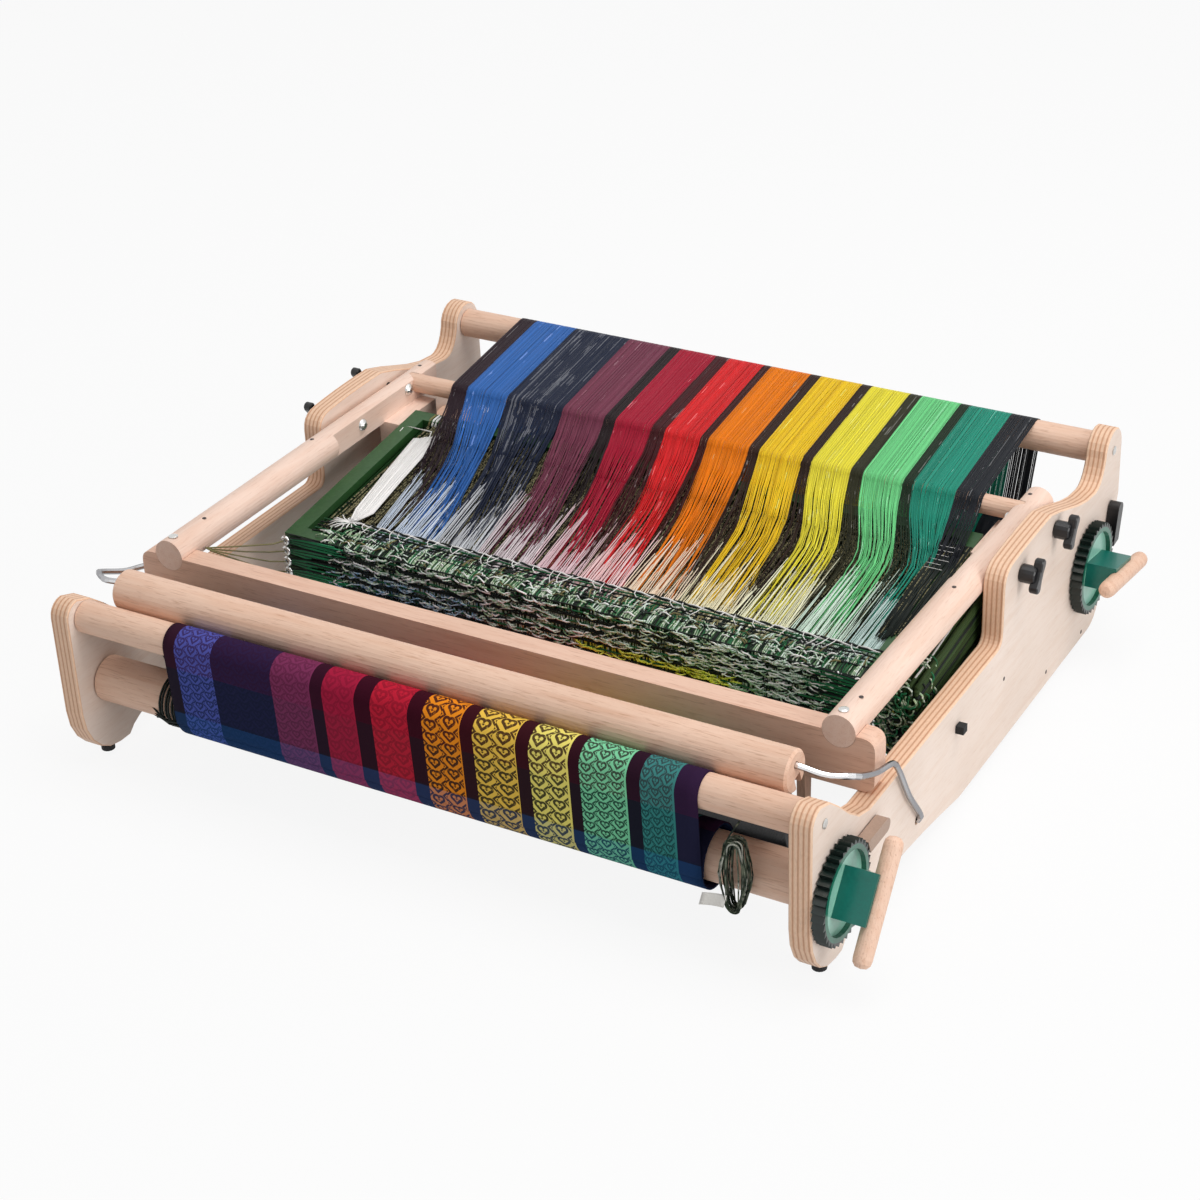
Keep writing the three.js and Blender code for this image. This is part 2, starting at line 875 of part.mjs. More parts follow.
// Pivot bolts with a domed head inside the post
function domeProfile(headX, end, shank) {
  return [
    [0, headX - domeHeight],
    [domeRadius * 0.45, headX - domeHeight * 0.9],
    [domeRadius * 0.85, headX - domeHeight * 0.5],
    [domeRadius, headX],
    [shank, headX],
    [shank, end],
    [0, end],
  ];
}

const knobBoreX = outerX + gap + knobReach - 4;
const pivotBolt = turned(
  domeProfile(flatX - gap, knobBoreX - gap, boltRadius),
  pivotY,
  pivotZ,
  14,
);
const domeScrew = turned(
  domeProfile(flatX - gap, innerX - 7, screwShank),
  lockY,
  lockZ,
  14,
);
add('pivot_bolt_right', pivotBolt, steel);
add('pivot_bolt_left', mirrored(pivotBolt), steel);
add('post_dome_screw_right', domeScrew, steel);
add('post_dome_screw_left', mirrored(domeScrew), steel);

// Wing knobs: the pivot knob is bored for its bolt, the lock knob has a stud
function wingShape() {
  const half = wingLength / 2;
  const w = wingWidth / 2;
  const s = new THREE.Shape();
  s.moveTo(-half + w, -w);
  s.quadraticCurveTo(0, -w * 0.3, half - w, -w);
  s.absarc(half - w, 0, w, -Math.PI / 2, Math.PI / 2, false);
  s.quadraticCurveTo(0, w * 0.3, -half + w, w);
  s.absarc(-half + w, 0, w, Math.PI / 2, (3 * Math.PI) / 2, false);
  s.closePath();
  return s;
}

function knob(y, z, angle, stud) {
  const x0 = outerX + gap;
  const x1 = x0 + knobReach;
  const stem = rod(knobBodyRadius, x0, x1 - wingThick / 2, 0, 0, 16, 1);
  const wing = slab(wingShape(), x1 - wingThick, x1, 1, 3);
  let g = join([stem, wing]);
  if (stud) {
    g = join([g, rod(boltRadius, innerX - runGap + gap, x0 + 2, 0, 0, 12)]);
  } else {
    g = cut(g, [rod(boltRadius + gap, x0 - 1, knobBoreX, 0, 0, 12)]);
  }
  g.rotateX(angle * rad);
  g.translate(0, y, z);
  return g;
}

add('pivot_knob_right', knob(pivotY, pivotZ, 62, false), black);
add('pivot_knob_left', mirrored(knob(pivotY, pivotZ, 118, false)), black);
add('lock_knob_right', knob(lockY, lockZ, 62, true), black);
add('lock_knob_left', mirrored(knob(lockY, lockZ, 118, true)), black);

// Lifting levers on their axle through the castle board
const leverY = castleBoardY + castleBoardThick / 2;
const leverAxleHalf = leverInnerX + leverPitch + 12;
add('lever_axle', rod(
  leverAxleRadius,
  -leverAxleHalf + gap,
  leverAxleHalf - gap,
  leverY,
  leverAxleZ,
  12,
), steel);

function lever(x) {
  const w = leverWidth / 2;
  const s = new THREE.Shape();
  s.absarc(0, 0, w, 0, Math.PI, false);
  s.lineTo(-w * 0.6, -leverLength + w);
  s.absarc(0, -leverLength + w, w * 0.6, Math.PI, 2 * Math.PI, false);
  s.closePath();
  const body = slab(s, x - leverThick / 2, x + leverThick / 2, 0, 6);
  const bore = rod(leverAxleRadius + gap, x - leverThick, x + leverThick, 0, 0, 12);
  const g = cut(body, [bore]);
  g.translate(0, leverY, leverAxleZ);
  return g;
}

leverPlaces().forEach((x, i) => {
  add(`shaft_lever_${i + 1}`, lever(x), beech);
});

// Shafts: a frame of two bars and two side sticks, with its heddles as a thin web
function plate(x0, x1, y0, y1, thick) {
  return box(x0, x1, y0, y1, -thick / 2, thick / 2);
}

function leaned(geometry, k) {
  const g = geometry.clone();
  g.rotateX(shaftLean * rad);
  g.translate(0, shaftFrontY, topShaftZ - shaftPitch * k);
  return g;
}

for (let k = 0; k < shaftCount; k += 1) {
  const w = shaftHalfWidth;
  const inX = w - shaftSideWidth;
  const inY0 = shaftBarWidth;
  const inY1 = shaftLength - shaftBarWidth;
  const frame = cut(plate(-w, w, 0, shaftLength, shaftThick), [
    plate(-inX, inX, inY0, inY1, shaftThick * 2),
  ]);
  const h = heddleHalfWidth;
  const web = cut(plate(-h, h, inY0 + gap, inY1 - gap, heddleThick), [
    plate(
      -h + heddleStripWidth,
      h - heddleStripWidth,
      eyePlace - eyeSlot / 2,
      eyePlace + eyeSlot / 2,
      heddleThick * 2,
    ),
  ]);
  add(`shaft_frame_${k + 1}`, leaned(frame, k), green);
  add(`heddle_set_${k + 1}`, leaned(web, k), white);
}

// Beater: grooved rail, reed and two bent wire arms
function beaterRail() {
  const h = railHalfLength;
  const body = rod(railRadius, -h, h, 0, 0, 32, railChamfer);
  const groove = box(
    -h - 1,
    h + 1,
    -grooveWidth / 2,
    grooveWidth / 2,
    -railRadius - 1,
    -reedTop + gap,
  );
  groove.rotateX(reedLean * rad);
  const g = cut(body, [
    groove,
    rod(armRadius + 2 * gap, h - armSocketDepth, h + 1, 0, armEntryRise, 16),
    rod(armRadius + 2 * gap, -h - 1, -h + armSocketDepth, 0, armEntryRise, 16),
  ]);
  g.translate(0, railY, railZ);
  return g;
}

function reed() {
  const w = reedHalfWidth;
  const t = reedThick / 2;
  const body = box(-w, w, -t, t, -reedBottom, -reedTop);
  const open = box(
    -w + reedRim,
    w - reedRim,
    -t - 1,
    t + 1,
    -reedBottom + reedRim,
    -railRadius - reedRim,
  );
  const g = cut(body, [open]);
  g.rotateX(reedLean * rad);
  g.translate(0, railY, railZ);
  return g;
}

function beaterArm() {
  const v = (x, y, z) => new THREE.Vector3(x, y, z);
  const start = railHalfLength - armSocketDepth + 2;
  const points = [
    v(start, railY, railZ + armEntryRise),
    v(railHalfLength - 12, railY, railZ + armEntryRise),
    v(railHalfLength + 2, railY, railZ + armEntryRise),
    v(armX - 19, railY + 3, railZ + 2),
    v(armX - 4, railY + 13, railZ),
    v(armX, railY + 23, railZ - 5),
    v(armX, (railY + armKneeY) / 2 + 8, (railZ + armKneeZ) / 2 - 3),
    v(armX, armKneeY - 6, armKneeZ + 3),
    v(armX, armKneeY + 6, armKneeZ - 9),
    v(armX, (armKneeY + armPivotY) / 2, (armKneeZ + armPivotZ) / 2 - 2),
    v(armX, armPivotY - 4, armPivotZ + 10),
    v(armX - 2.5, armPivotY, armPivotZ + 1),
    v(armX - 8, armPivotY, armPivotZ),
    v(outerX - armPinDepth + 1, armPivotY, armPivotZ),
  ];
  return tube(points, armRadius, 8, 44);
}

add('beater_rail', beaterRail(), beech);
add('reed', reed(), reedGrey);
add('beater_arm_right', beaterArm(), steel);
add('beater_arm_left', mirrored(beaterArm()), steel);

// Woven cloth: from the fell over the front beam and down to the wound cloth
const frontBeam = [frontBeamY, frontBeamZ];
const beamSkin = beamRadius + gap + clothThick / 2;
const rollSkin = clothRollRadius + gap + clothThick / 2;
const clothFrom = pointAngle(frontBeam, beamSkin, [fellY, fellZ], 1);
const clothDown = tangentAngle(
  frontBeam,
  beamSkin,
  [clothRollerY, clothRollerZ],
  rollSkin,
  -1,
) + 360;
const wrapped = arc(clothRollerY, clothRollerZ, rollSkin, clothDown, clothDown + 8, 1);
const clothPath = [
  [fellY, fellZ],
  ...arc(frontBeamY, frontBeamZ, beamSkin, clothFrom, clothDown, 16),
  ...wrapped,
];
const clothStations = clothPath.map(([y, z]) => [y, z, clothLeftX, clothRightX]);
add('woven_cloth', sheet(clothStations, clothThick), clothBlue);

// Warp behind the shafts: off the warp roller, over the back beam and the castle dowel
const lean = shaftLean * rad;
const eyeTopY = shaftFrontY + eyePlace * Math.cos(lean);
const eyeTopZ = topShaftZ + eyePlace * Math.sin(lean);
const bottomDrop = shaftPitch * (shaftCount - 1) + shaftThick;
const backSkin = beamRadius + gap + warpThick / 2;
const dowelSkin = rearDowelRadius + gap + warpThick / 2;
const warpSkin = warpRollRadius + gap + warpThick / 2;
const warpUp = tangentAngle(
  [warpRollerY, warpRollerZ],
  warpSkin,
  [backBeamY, backBeamZ],
  backSkin,
  -1,
);
const warpOver = tangentAngle(
  [backBeamY, backBeamZ],
  backSkin,
  [rearDowelY, rearDowelZ],
  dowelSkin,
  -1,
) + 360;
const warpDown = pointAngle(
  [rearDowelY, rearDowelZ],
  dowelSkin,
  [eyeTopY, eyeTopZ + shaftThick],
  -1,
) + 360;
const over = arc(backBeamY, backBeamZ, backSkin, warpUp, warpOver, 10);
const bend = arc(rearDowelY, rearDowelZ, dowelSkin, warpOver, warpDown, 4);
const rollStart = arc(warpRollerY, warpRollerZ, warpSkin, warpUp - 8, warpUp, 1);
const backStations = [
  ...rollStart.map(([y, z]) => [y, z, -warpHalfWidth, warpHalfWidth]),
  ...over.map(([y, z]) => [y, z, -warpHalfWidth, warpHalfWidth]),
  ...bend.map(([y, z]) => [y, z, -warpHalfWidth, warpHalfWidth]),
  [eyeTopY, eyeTopZ + shaftThick, -eyeHalfWidth, eyeHalfWidth],
  [eyeTopY, eyeTopZ, -eyeHalfWidth, eyeHalfWidth],
];
add('warp_back_span', sheet(backStations, warpThick), warpTeal);

// Warp in front of the shafts: down through the eyes, under them and through the reed
const frontStations = [
  [eyeTopY, eyeTopZ - gap, -eyeHalfWidth, eyeHalfWidth],
  [eyeTopY, eyeTopZ - bottomDrop - 4, -eyeHalfWidth, eyeHalfWidth],
  [underShaftsY, underShaftsZ, clothLeftX, clothRightX],
  [fellY + gap + 0.2, fellZ - 0.4, clothLeftX, clothRightX],
];
add('warp_front_span', sheet(frontStations, warpThick), white);

// Hank: one thread in upright loops, its tail up to the front beam
function hank() {
  const points = [];
  const backY = clothRollerY - rollerRadius - gap - hankCord;
  const total = hankLoops * hankSteps;
  const tailTop = frontBeamZ - beamRadius - gap;
  const firstY = backY - hankPitch * hankLoops;
  points.push(new THREE.Vector3(hankX, frontBeamY, tailTop));
  points.push(new THREE.Vector3(hankX, frontBeamY, tailTop - 2.4));
  points.push(new THREE.Vector3(hankX - 0.5, (firstY + frontBeamY) / 2, hankZ + hankHalfHeight + 8));
  for (let i = 0; i <= total; i += 1) {
    const a = (2 * Math.PI * i) / hankSteps + Math.PI / 2;
    const waist = 1 + 0.22 * Math.cos(2 * a);
    points.push(new THREE.Vector3(
      hankX + hankHalfWidth * Math.cos(a) * waist,
      firstY + (hankPitch * i) / hankSteps,
      hankZ + hankHalfHeight * Math.sin(a),
    ));
  }
  return points;
}

const hankPoints = hank();
let hankLeast = Infinity;
for (let i = 0; i < hankPoints.length; i += 1) {
  for (let j = i + Math.round(hankSteps * 0.6); j < hankPoints.length; j += 1) {
    hankLeast = Math.min(hankLeast, hankPoints[i].distanceTo(hankPoints[j]) - 2 * hankCord);
  }
}
console.log(`yarn_hank least gap ${hankLeast.toFixed(2)} mm`);
add('yarn_hank', tube(hankPoints, hankCord, 6, hankLoops * hankSteps + 8), threadGreen);

// The origin is at the middle of the underside
loom.updateMatrixWorld(true);
const extent = new THREE.Box3().setFromObject(loom);
const middle = extent.getCenter(new THREE.Vector3());
loom.position.set(-middle.x, -middle.y, -extent.min.z);
loom.updateMatrixWorld(true);

export default loom;
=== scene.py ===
"""Table loom, folded flat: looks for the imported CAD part."""
import random
from math import acos, atan2, cos, degrees, dist, hypot, pi, radians, sin, tan

import bpy
import numpy as np
from mathutils import Matrix, Vector


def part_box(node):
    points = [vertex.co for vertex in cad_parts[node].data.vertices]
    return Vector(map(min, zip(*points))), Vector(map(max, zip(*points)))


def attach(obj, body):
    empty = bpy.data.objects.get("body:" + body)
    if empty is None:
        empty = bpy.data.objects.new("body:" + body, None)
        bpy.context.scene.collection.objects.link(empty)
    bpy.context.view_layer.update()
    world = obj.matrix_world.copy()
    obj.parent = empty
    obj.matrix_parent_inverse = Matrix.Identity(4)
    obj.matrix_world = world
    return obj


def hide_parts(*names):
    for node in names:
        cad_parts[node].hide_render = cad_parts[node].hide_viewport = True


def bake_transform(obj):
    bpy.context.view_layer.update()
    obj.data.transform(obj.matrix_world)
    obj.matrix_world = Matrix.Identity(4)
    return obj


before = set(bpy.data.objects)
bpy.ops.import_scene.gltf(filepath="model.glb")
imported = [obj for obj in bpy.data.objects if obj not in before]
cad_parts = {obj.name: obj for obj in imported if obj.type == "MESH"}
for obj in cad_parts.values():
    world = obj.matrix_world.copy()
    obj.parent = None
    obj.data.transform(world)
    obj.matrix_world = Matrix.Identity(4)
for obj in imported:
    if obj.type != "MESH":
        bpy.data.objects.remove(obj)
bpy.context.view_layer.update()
rng = random.Random(11)
vary, pick = rng.uniform, rng.choice
scene = bpy.context.scene

# Working frame: millimetres, x = 0 at the middle, y = 0 at the front edge, z = 0 under the panels.
# What runs across the loom is placed by its axis, given as y and z
FRONT_BEAM, BACK_BEAM, DOWEL = (24, 137), (629, 164), (501, 155)
CLOTH_ROLL, WARP_ROLL = (41, 68), (570, 76)
low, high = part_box("front_beam")
OX, OY, OZ = Vector(((low.x + high.x) / 2, (low.y + high.y) / 2 - FRONT_BEAM[0] / 1000,
                     (low.z + high.z) / 2 - FRONT_BEAM[1] / 1000))


def at(x, y, z):
    return Vector((OX + x / 1000, OY + y / 1000, OZ + z / 1000))


# Shaft frames, numbered 0 to 3 from the top one: depth and height of the top one's front bar, the step down
# to the next, and the slope that they lie at
BAR_Y, TOP_BAR_Z, SHAFT_STEP, LEAN = 251, 112.0, 10.5, radians(7)
SHAFTS = range(4)


def bar_z(k):
    return TOP_BAR_Z - SHAFT_STEP * k


def shaft_z(k, y):
    """Height of shaft k's mid plane at depth y."""
    return bar_z(k) + (y - BAR_Y) * tan(LEAN)


def numbered(name, k):
    return "%s_%d" % (name, k + 1)


def shaft_body(k):
    return numbered("shaft", k)


def between(a, b, t):
    return a + (b - a) * t


def spread(first, last, j, n):
    """Place of number j of n that stand evenly from first to last."""
    return first + (last - first) * j / (n - 1)


def place_camera():
    """The camera worked out from the photograph's long edges."""
    azimuth, elevation, roll = radians(30.60), radians(29.62), radians(-2.32)
    ahead = Vector((-sin(azimuth) * cos(elevation), cos(azimuth) * cos(elevation), -sin(elevation)))
    level = Vector((cos(azimuth), sin(azimuth), 0))
    upright = level.cross(ahead)
    right = level * cos(roll) + upright * sin(roll)
    up = upright * cos(roll) - level * sin(roll)
    lens = bpy.data.cameras.new("camera")
    lens.lens = 75.95
    lens.sensor_width = 36
    lens.clip_start = 0.05
    lens.clip_end = 60
    camera = bpy.data.objects.new("camera", lens)
    turn = Matrix((right, up, -ahead)).transposed()
    camera.matrix_world = Matrix.Translation(at(976.19, -1339.34, 1177.17)) @ turn.to_4x4()
    scene.collection.objects.link(camera)
    scene.camera = camera


place_camera()


# Materials
def rgb(r, g, b):
    """A colour in screen values from 0 to 255, turned linear."""
    def linear(c):
        c /= 255
        return c / 12.92 if c <= 0.04045 else ((c + 0.055) / 1.055) ** 2.4
    return (linear(r), linear(g), linear(b), 1.0)


def scaled(colour, share, extra=0.0):
    """A linear colour made darker or paler, the alpha kept at 1."""
    return tuple(min(1, c * share + extra) for c in colour[:3]) + (1,)


# Turns of the twist in each metre of yarn
TWISTS = 620.0


def maths(op):
    """A method of Shade that makes one kind of maths node."""
    def method(self, a, b=0.0):
        return self.math(op, a, b)
    return method


class Shade:
    """A node material, with short calls for its nodes."""

    def __init__(self, name, rough=0.5, metal=0.0, spec=0.5, coat=0.0):
        self.mat = bpy.data.materials.new(name)
        self.mat.use_nodes = True
        self.nodes = self.mat.node_tree.nodes
        self.links = self.mat.node_tree.links
        self.bsdf = self.nodes["Principled BSDF"]
        start = {"Roughness": rough, "Metallic": metal, "Specular IOR Level": spec, "Coat Weight": coat}
        for socket, value in start.items():
            self.bsdf.inputs[socket].default_value = value
        self.coords = self.nodes.new("ShaderNodeTexCoord")

    def put(self, socket, value):
        if isinstance(value, bpy.types.NodeSocket):
            self.links.new(value, socket)
        else:
            socket.default_value = value

    def node(self, kind, values):
        """A new node, with inputs set or linked by their names or numbers."""
        n = self.nodes.new("ShaderNode" + kind)
        for name, value in values.items():
            self.put(n.inputs[name], value)
        return n

    def math(self, op, a, b=0.0, clamp=False):
        n = self.node("Math", {0: a, 1: b})
        n.operation = op
        n.use_clamp = clamp
        return n.outputs[0]

    add, sub, mul = maths("ADD"), maths("SUBTRACT"), maths("MULTIPLY")
    less, more, most = maths("LESS_THAN"), maths("GREATER_THAN"), maths("MAXIMUM")
    size, least, part = maths("ABSOLUTE"), maths("MINIMUM"), maths("FRACT")

    def zigzag(self, a):
        """Up and down between 0 and 0.5, once for each 1 of a."""
        return self.math("PINGPONG", a, 0.5)

    def length(self, a, b):
        return self.math("SQRT", self.add(self.mul(a, a), self.mul(b, b)))

    def mix(self, f, a, b, mode="MIX"):
        n = self.nodes.new("ShaderNodeMix")
        n.data_type = "RGBA"
        n.blend_type = mode
        self.put(n.inputs[0], f)
        self.put(n.inputs[6], a)
        self.put(n.inputs[7], b)
        return n.outputs[2]

    def noise(self, sizes, detail=2.0, rough=0.5, scale=1.0):
        """Noise over the object, with one scale for all axes or one for each, or over a given vector."""
        if not isinstance(sizes, bpy.types.NodeSocket):
            each_axis = sizes if isinstance(sizes, tuple) else (sizes, sizes, sizes)
            place = self.coords.outputs["Object"]
            sizes = self.node("Mapping", {"Scale": each_axis, "Vector": place}).outputs[0]
        n = self.node("TexNoise", {"Scale": scale, "Detail": detail, "Roughness": rough, "Vector": sizes})
        return n.outputs["Fac"]

    def ramp(self, f, stops, hard=False):
        n = self.nodes.new("ShaderNodeValToRGB")
        n.color_ramp.interpolation = "CONSTANT" if hard else "LINEAR"
        e = n.color_ramp.elements
        while len(e) < len(stops):
            e.new(0.5)
        for k, (pos, col) in enumerate(stops):
            e[k].position = pos
        for k, (pos, col) in enumerate(stops):
            e[k].color = col
        self.put(n.inputs[0], f)
        return n.outputs[0]

    def split(self, vector):
        return self.node("SeparateXYZ", {0: vector}).outputs

    def uv(self):
        return self.split(self.coords.outputs["UV"])[:2]

    def color(self, socket):
        self.put(self.bsdf.inputs["Base Color"], socket)

    def rough(self, least, noise, share):
        self.put(self.bsdf.inputs["Roughness"], self.add(least, self.mul(noise, share)))

    def bump(self, height, strength, distance):
        n = self.node("Bump", {"Strength": strength, "Distance": distance, "Height": height})
        self.put(self.bsdf.inputs["Normal"], n.outputs[0])

    def yarn(self, col, u, v, share, dark):
        """Finish a yarn: a fine twist along it in height, with painted shade darkening its grooves in colour.
        """
        turns = self.zigzag(self.add(self.mul(v, TWISTS), self.mul(u, 3.0)))
        # Painted shade: the twist's grooves are mixed towards the dark colour
        self.color(self.mix(self.mul(turns, share), col, dark))
        self.bump(turns, 0.4, 0.0003)
        return self.mat


WHITE = (1, 1, 1, 1)
# Panels: their inner faces, their thickness, and how often light and dark plies alternate through it
PANEL_INSIDE, PANEL_THICK, PLY_WAVES = 0.330, 0.019, 4.5


def ply_edge(s, face):
    """Laminations of the side panels on every surface that doesn't face sideways."""
    sideways = s.size(s.split(s.coords.outputs["Normal"])[0])
    across = s.size(s.sub(s.split(s.coords.outputs["Object"])[0], OX))
    wave = s.mul(s.noise((4, 22, 22)), 0.18)
    layer = s.zigzag(s.add(s.mul(s.sub(across, PANEL_INSIDE), 1 / PANEL_THICK * PLY_WAVES), wave))
    layers = s.ramp(layer, [
        (0.06, rgb(206, 154, 122)), (0.16, rgb(232, 188, 156)), (0.30, rgb(242, 204, 174)),
        (0.46, rgb(246, 212, 184)), (0.50, rgb(232, 190, 158)),
    ])
    fibre = s.ramp(s.noise((1400, 300, 300)), [(0.3, (0.88, 0.86, 0.84, 1)), (0.62, WHITE)])
    return s.mix(s.less(sideways, 0.80), face, s.mix(1.0, layers, fibre, "MULTIPLY"))


def wood(name, axis, light, mid, dark, fleck=0.5, ply=False):
    """Pale wood with soft bands and short dark pores along one axis."""
    s = Shade(name, rough=0.48, spec=0.35)
    band = s.noise(tuple(5.0 if a == axis else 60.0 for a in "xyz"), 4, 0.55, 1.6)
    base = s.ramp(band, [(0.30, mid), (0.52, light), (0.75, mid)])
    pores = s.noise(tuple(60 if a == axis else 900 for a in "xyz"), 2, 0.6)
    lines = s.ramp(pores, [(0.56, (0, 0, 0, 1)), (0.70, WHITE)])
    col = s.mix(s.mul(lines, fleck), base, dark)
    shade = s.ramp(s.noise(3, scale=2.5), [(0.3, (0.90, 0.88, 0.86, 1)), (0.7, WHITE)])
    col = s.mix(1.0, col, shade, "MULTIPLY")
    s.color(ply_edge(s, col) if ply else col)
    s.rough(0.42, pores, 0.16)
    s.bump(s.add(s.mul(band, 0.3), s.mul(pores, -0.5)), 0.25, 0.0006)
    return s.mat


def metal(name, colour, rough):
    s = Shade(name, rough=rough, metal=1.0)
    n = s.noise(900, 3)
    s.color(s.mix(n, colour, scaled(colour, 0.72)))
    s.rough(rough - 0.08, n, 0.2)
    s.bump(n, 0.08, 0.0002)
    return s.mat


def plastic(name, light, dark, rough, grain=700, strength=0.15):
    s = Shade(name, rough=rough)
    n = s.noise(grain, 3)
    s.color(s.mix(s.mul(s.add(n, s.noise(30)), 0.5), light, dark))
    s.rough(rough - 0.06, n, 0.14)
    s.bump(n, strength, 0.0003)
    return s.mat


def wire_painted_reflection(name):
    """Bright drawn wire with painted reflection: painted bright where it faces the view, and painted darker
    where it turns away.
    """
    s = Shade(name, rough=0.14, metal=1.0)
    edge = s.node("LayerWeight", {"Blend": 0.35})
    drawn = s.noise((60, 60, 1600))
    # Painted reflection: near white where the wire faces the view, near black at its edges
    col = s.ramp(edge.outputs["Facing"], [
        (0.2, (0.86, 0.86, 0.87, 1)), (0.48, (0.26, 0.26, 0.28, 1)), (0.8, (0.03, 0.03, 0.035, 1)),
    ])
    s.color(s.mix(s.mul(drawn, 0.4), col, (0.35, 0.34, 0.34, 1)))
    s.rough(0.1, drawn, 0.12)
    return s.mat


def wheel_plastic(name, axis):
    """Moulded wheel: toothed edge painted dark as painted shade, green rim, pale dished face and a deep green
    block.
    """
    face_radius, painted_teeth_shade_radius, block_reach = 0.0336, 0.03785, 0.0332
    block_start, handle_side = 0.3565, 0.3604
    s = Shade(name, rough=0.34, coat=0.15)
    px, py, pz = s.split(s.coords.outputs["Object"])[:3]
    far = s.length(s.sub(py, OY + axis[0] / 1000), s.sub(pz, OZ + axis[1] / 1000))
    span = 0.05
    # Past the rim the toothed edge takes a near black green: painted shade on the teeth
    ring = s.ramp(s.mul(far, 1 / span), [
        (0.0, rgb(150, 208, 188)), (face_radius / span, rgb(6, 104, 80)), (painted_teeth_shade_radius / span, rgb(5, 26, 22)),
    ], hard=True)
    block = s.mul(s.more(px, OX + block_start), s.less(far, block_reach))
    block = s.most(block, s.more(px, OX + handle_side))
    fine = s.noise(420, 3)
    tint = s.mix(block, ring, rgb(0, 106, 94))
    tone = s.ramp(s.mul(s.add(fine, s.noise(40)), 0.5), [(0.35, (0.80, 0.82, 0.82, 1)), (0.62, WHITE)])
    s.color(s.mix(1.0, tint, tone, "MULTIPLY"))
    s.rough(0.28, fine, 0.14)
    s.bump(fine, 0.1, 0.0003)
    return s.mat


def thread(name, colour, tone=0.35, rough=0.55, spec=0.14, twist=0.35, flecks=0.0):
    """Yarn: each strand has its own tone, a fine twist along it with painted shade in its grooves, and a few
    pale strands.
    """
    s = Shade(name, rough=rough, spec=spec)
    u, v = s.uv()
    own = s.nodes.new("ShaderNodeTexWhiteNoise")
    own.noise_dimensions = "1D"
    s.links.new(s.mul(u, 977.0), own.inputs["W"])
    col = s.mix(own.outputs["Value"], scaled(colour, 1 - tone), scaled(colour, 1 + 0.5 * tone, 0.015 * tone))
    if flecks:
        wisp = s.noise((160, 30, 160))
        chosen = s.more(s.add(own.outputs["Value"], wisp), 1.62 - flecks)
        col = s.mix(s.mul(chosen, 0.8), col, scaled(colour, 1.5, 0.22))
    return s.yarn(col, u, v, twist, scaled(colour, 0.5))


def mottled(name, tones, size=420.0):
    """Yarn that changes between several tones along and between its strands."""
    s = Shade(name, rough=0.75, spec=0.12)
    u, v = s.uv()
    mixed = s.node("CombineXYZ", {0: s.mul(u, 61.0), 1: s.mul(v, size)})
    step = 0.42 / (len(tones) - 1)
    stops = [(0.29 + step * k, rgb(*tone)) for k, tone in enumerate(tones)]
    col = s.ramp(s.noise(mixed.outputs[0], 2, 0.6), stops)
    return s.yarn(col, u, v, 0.5, (0.01, 0.012, 0.01, 1))


BEECH = (rgb(240, 204, 181), rgb(231, 189, 163), rgb(186, 136, 106))
POST = (rgb(246, 218, 202), rgb(240, 206, 187), rgb(204, 158, 134))
BIRCH = (rgb(240, 223, 211), rgb(235, 214, 199), rgb(210, 180, 160))
BOARD = (rgb(236, 198, 176), rgb(224, 180, 156), rgb(178, 128, 102))
steel = metal("steel", (0.74, 0.74, 0.72, 1), 0.26)
reed_metal = plastic("reed_metal", rgb(30, 31, 36), rgb(12, 13, 16), 0.5, 900, 0.1)
string_white = thread("heddle_string", rgb(246, 244, 242), 0.10, 0.7, 0.15, 0.12)
heddle_dark = mottled("heddle_dark", [
    (14, 18, 16), (22, 30, 26), (158, 150, 114), (18, 22, 20), (70, 66, 48),
], 210.0)


# The CAD nodes get their materials
def dress(mat, *names):
    for name in names:
        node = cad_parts[name]
        node.data.materials.clear()
        node.data.materials.append(mat)


def both(*names):
    return [name + edge for name in names for edge in ("_left", "_right")]


def each(name):
    return [numbered(name, k) for k in SHAFTS]


dress(wood("birch_ply", "y", *BIRCH, fleck=0.30, ply=True), *both("side_panel"))
dress(wood("beech_x", "x", *BEECH), "front_beam", "back_beam", "castle_rear_dowel", "beater_rail",
      "cloth_roller", "warp_roller")
dress(wood("board_x", "x", *BOARD, fleck=0.4), "castle_board", "base_board")
dress(wood("beech_y", "y", *POST, fleck=0.3), *both("castle_post"))
dress(wood("beech_z", "z", *BEECH), "cloth_roller_handle", "warp_roller_handle", *each("shaft_lever"))
dress(steel, "lever_axle", *both("beam_screw_front", "beam_screw_back", "post_screw", "pivot_bolt",
                                 "post_dome_screw"))
dress(wire_painted_reflection("wire_steel_painted_reflection"), *both("beater_arm"))
dress(reed_metal, "reed")
dress(plastic("black_plastic", rgb(24, 24, 27), rgb(9, 9, 11), 0.3), "warp_pawl",
      *both("pivot_knob", "lock_knob"))
dress(plastic("rubber", rgb(30, 30, 31), rgb(15, 15, 16), 0.8, 1500, 0.35),
      *both("foot_front", "foot_back", "arm_stop"))
dress(wheel_plastic("cloth_wheel_plastic", CLOTH_ROLL), "cloth_ratchet_wheel")
dress(wheel_plastic("warp_wheel_plastic", WARP_ROLL), "warp_ratchet_wheel")
dress(plastic("pawl_plastic", rgb(186, 158, 140), rgb(150, 124, 108), 0.5), "cloth_pawl")
dress(plastic("green_stick", rgb(46, 92, 44), rgb(20, 54, 24), 0.45, 240, 0.3), *each("shaft_frame"))


